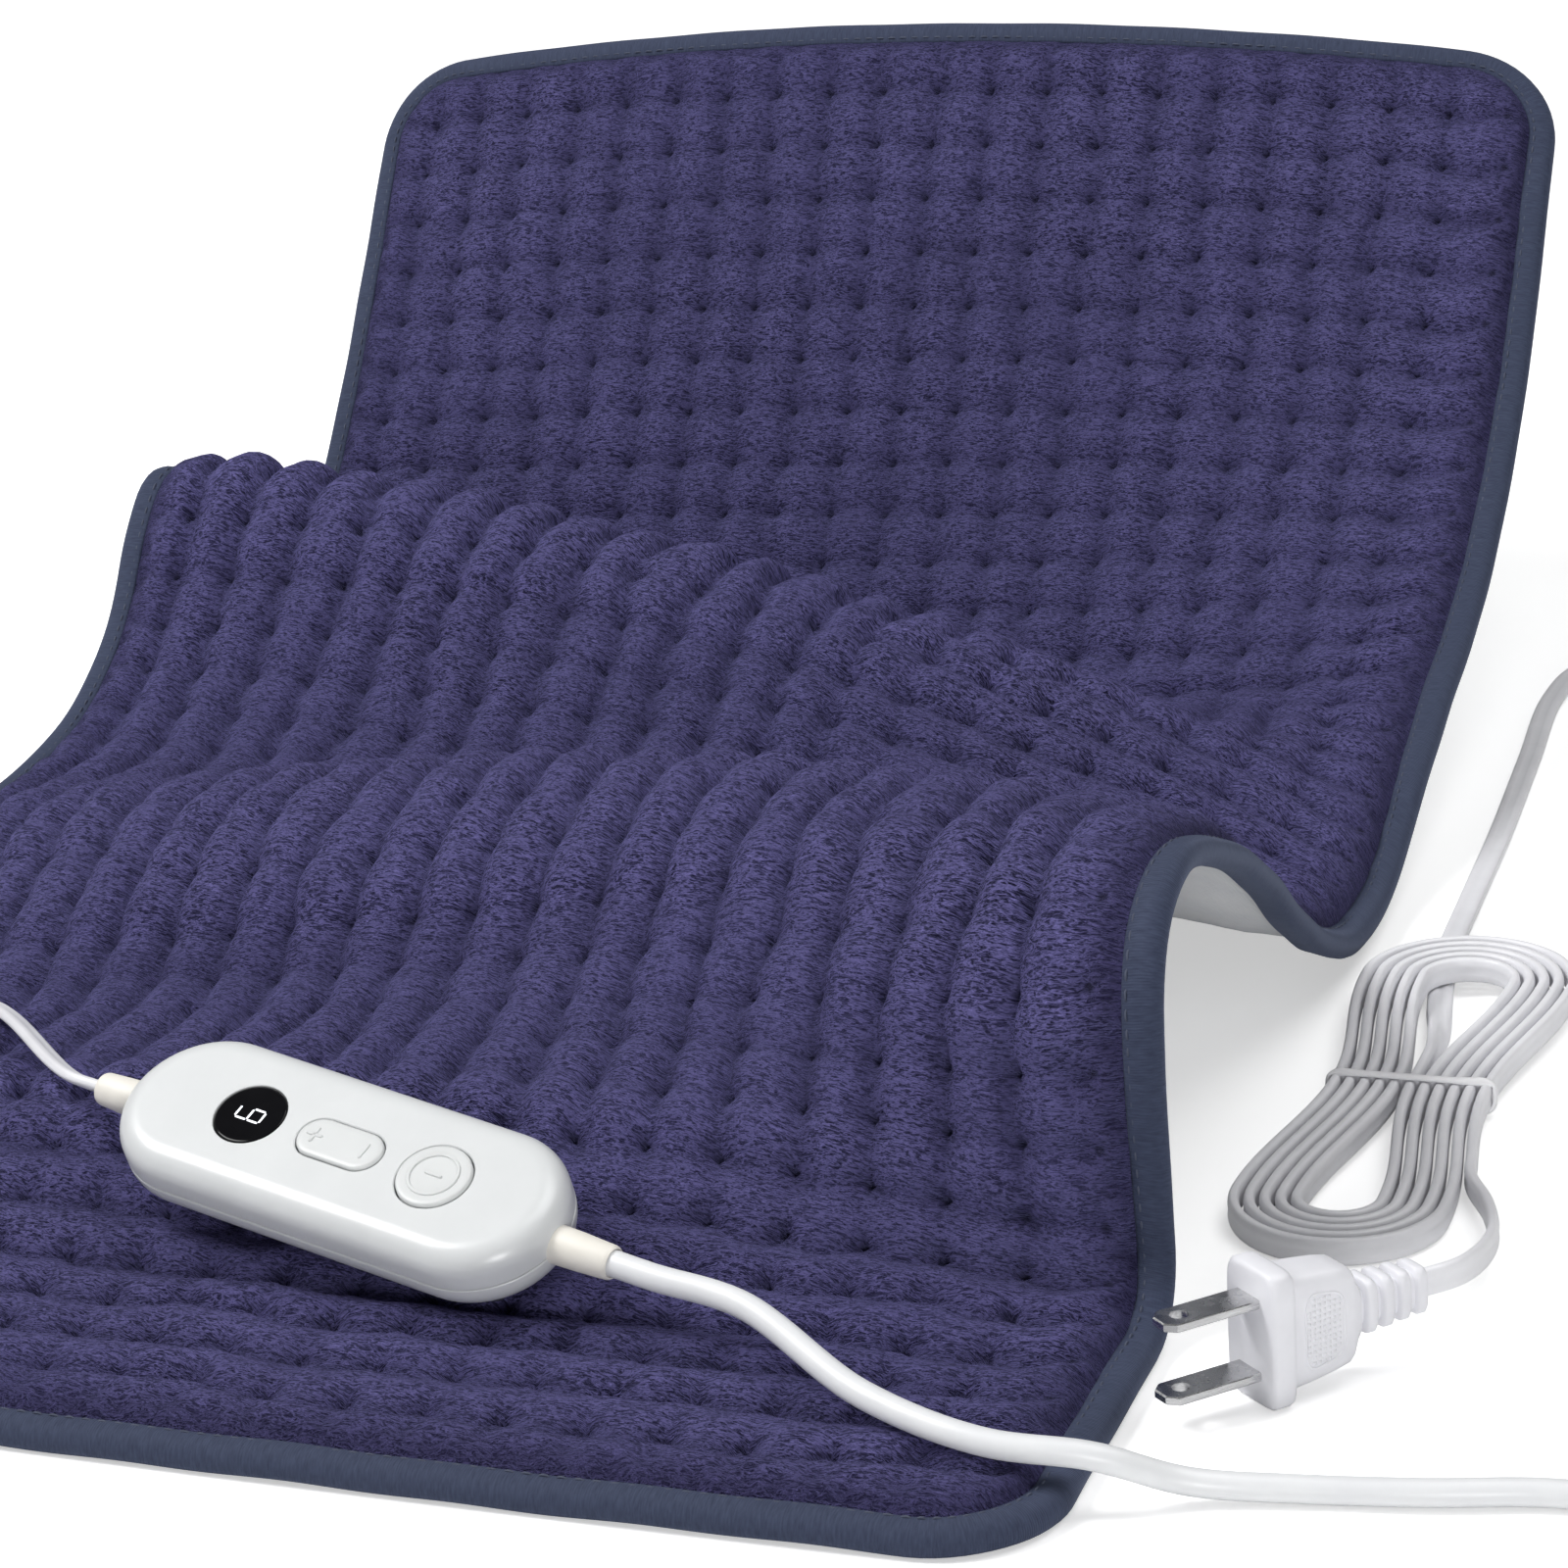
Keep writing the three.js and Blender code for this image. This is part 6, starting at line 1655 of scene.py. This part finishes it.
class HEATING_OT_inside(bpy.types.Operator):
    """Give the parts inside the pad and the controller their materials"""

    bl_idname = "heating.inside"
    bl_label = "Inside parts"

    def execute(self, context):
        for slot, subparts in INSIDE.items():
            for subpart in subparts:
                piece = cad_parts[subpart]
                piece.data.materials.clear()
                piece.data.materials.append(MATERIALS[slot])
        return {"FINISHED"}


class HEATING_OT_stage(bpy.types.Operator):
    """Lay the pale floor and set the soft studio light"""

    bl_idname = "heating.stage"
    bl_label = "Stage"

    def execute(self, context):
        stage = context.scene.heating_stage
        make_floor()
        make_world()
        make_light("key_light", (-0.80, -0.38, 1.20), (0, -0.02, 0), 0.6, stage.key_power)
        make_light("top_light", (0.60, 0.15, 1.4), (0.05, -0.05, 0), 0.9, stage.top_power)
        make_light("side_light", (0.75, -1.25, 0.16), (0.12, -0.08, 0.03), 0.4, stage.side_power)
        context.scene.view_settings.view_transform = "Standard"
        return {"FINISHED"}


class HEATING_PT_panel(bpy.types.Panel):
    """Settings and steps of the heating pad"""

    bl_idname = "HEATING_PT_panel"
    bl_label = "Heating pad"
    bl_space_type = "VIEW_3D"
    bl_region_type = "UI"
    bl_category = "Heating pad"

    def draw(self, context):
        for name, group in SETTINGS:
            box = self.layout.box()
            box.label(text=group.__doc__)
            for setting in group.__annotations__:
                box.prop(getattr(context.scene, name), setting)
        for step in STEPS:
            self.layout.operator(step.bl_idname)


STEPS = (HEATING_OT_camera, HEATING_OT_cords, HEATING_OT_pad, HEATING_OT_controller, HEATING_OT_inside,
         HEATING_OT_stage)


def register():
    for name, group in SETTINGS:
        bpy.utils.register_class(group)
        setattr(bpy.types.Scene, name, bpy.props.PointerProperty(type=group))
    for step in STEPS:
        bpy.utils.register_class(step)
    bpy.utils.register_class(HEATING_PT_panel)


def unregister():
    bpy.utils.unregister_class(HEATING_PT_panel)
    for step in reversed(STEPS):
        bpy.utils.unregister_class(step)
    for name, group in reversed(SETTINGS):
        delattr(bpy.types.Scene, name)
        bpy.utils.unregister_class(group)


def main():
    register()
    make_groups()
    MATERIALS.update(make_materials())
    bpy.ops.heating.camera()
    bpy.ops.heating.cords()
    bpy.ops.heating.pad()
    bpy.ops.heating.controller()
    bpy.ops.heating.inside()
    bpy.ops.heating.stage()


if __name__ == "__main__":
    main()
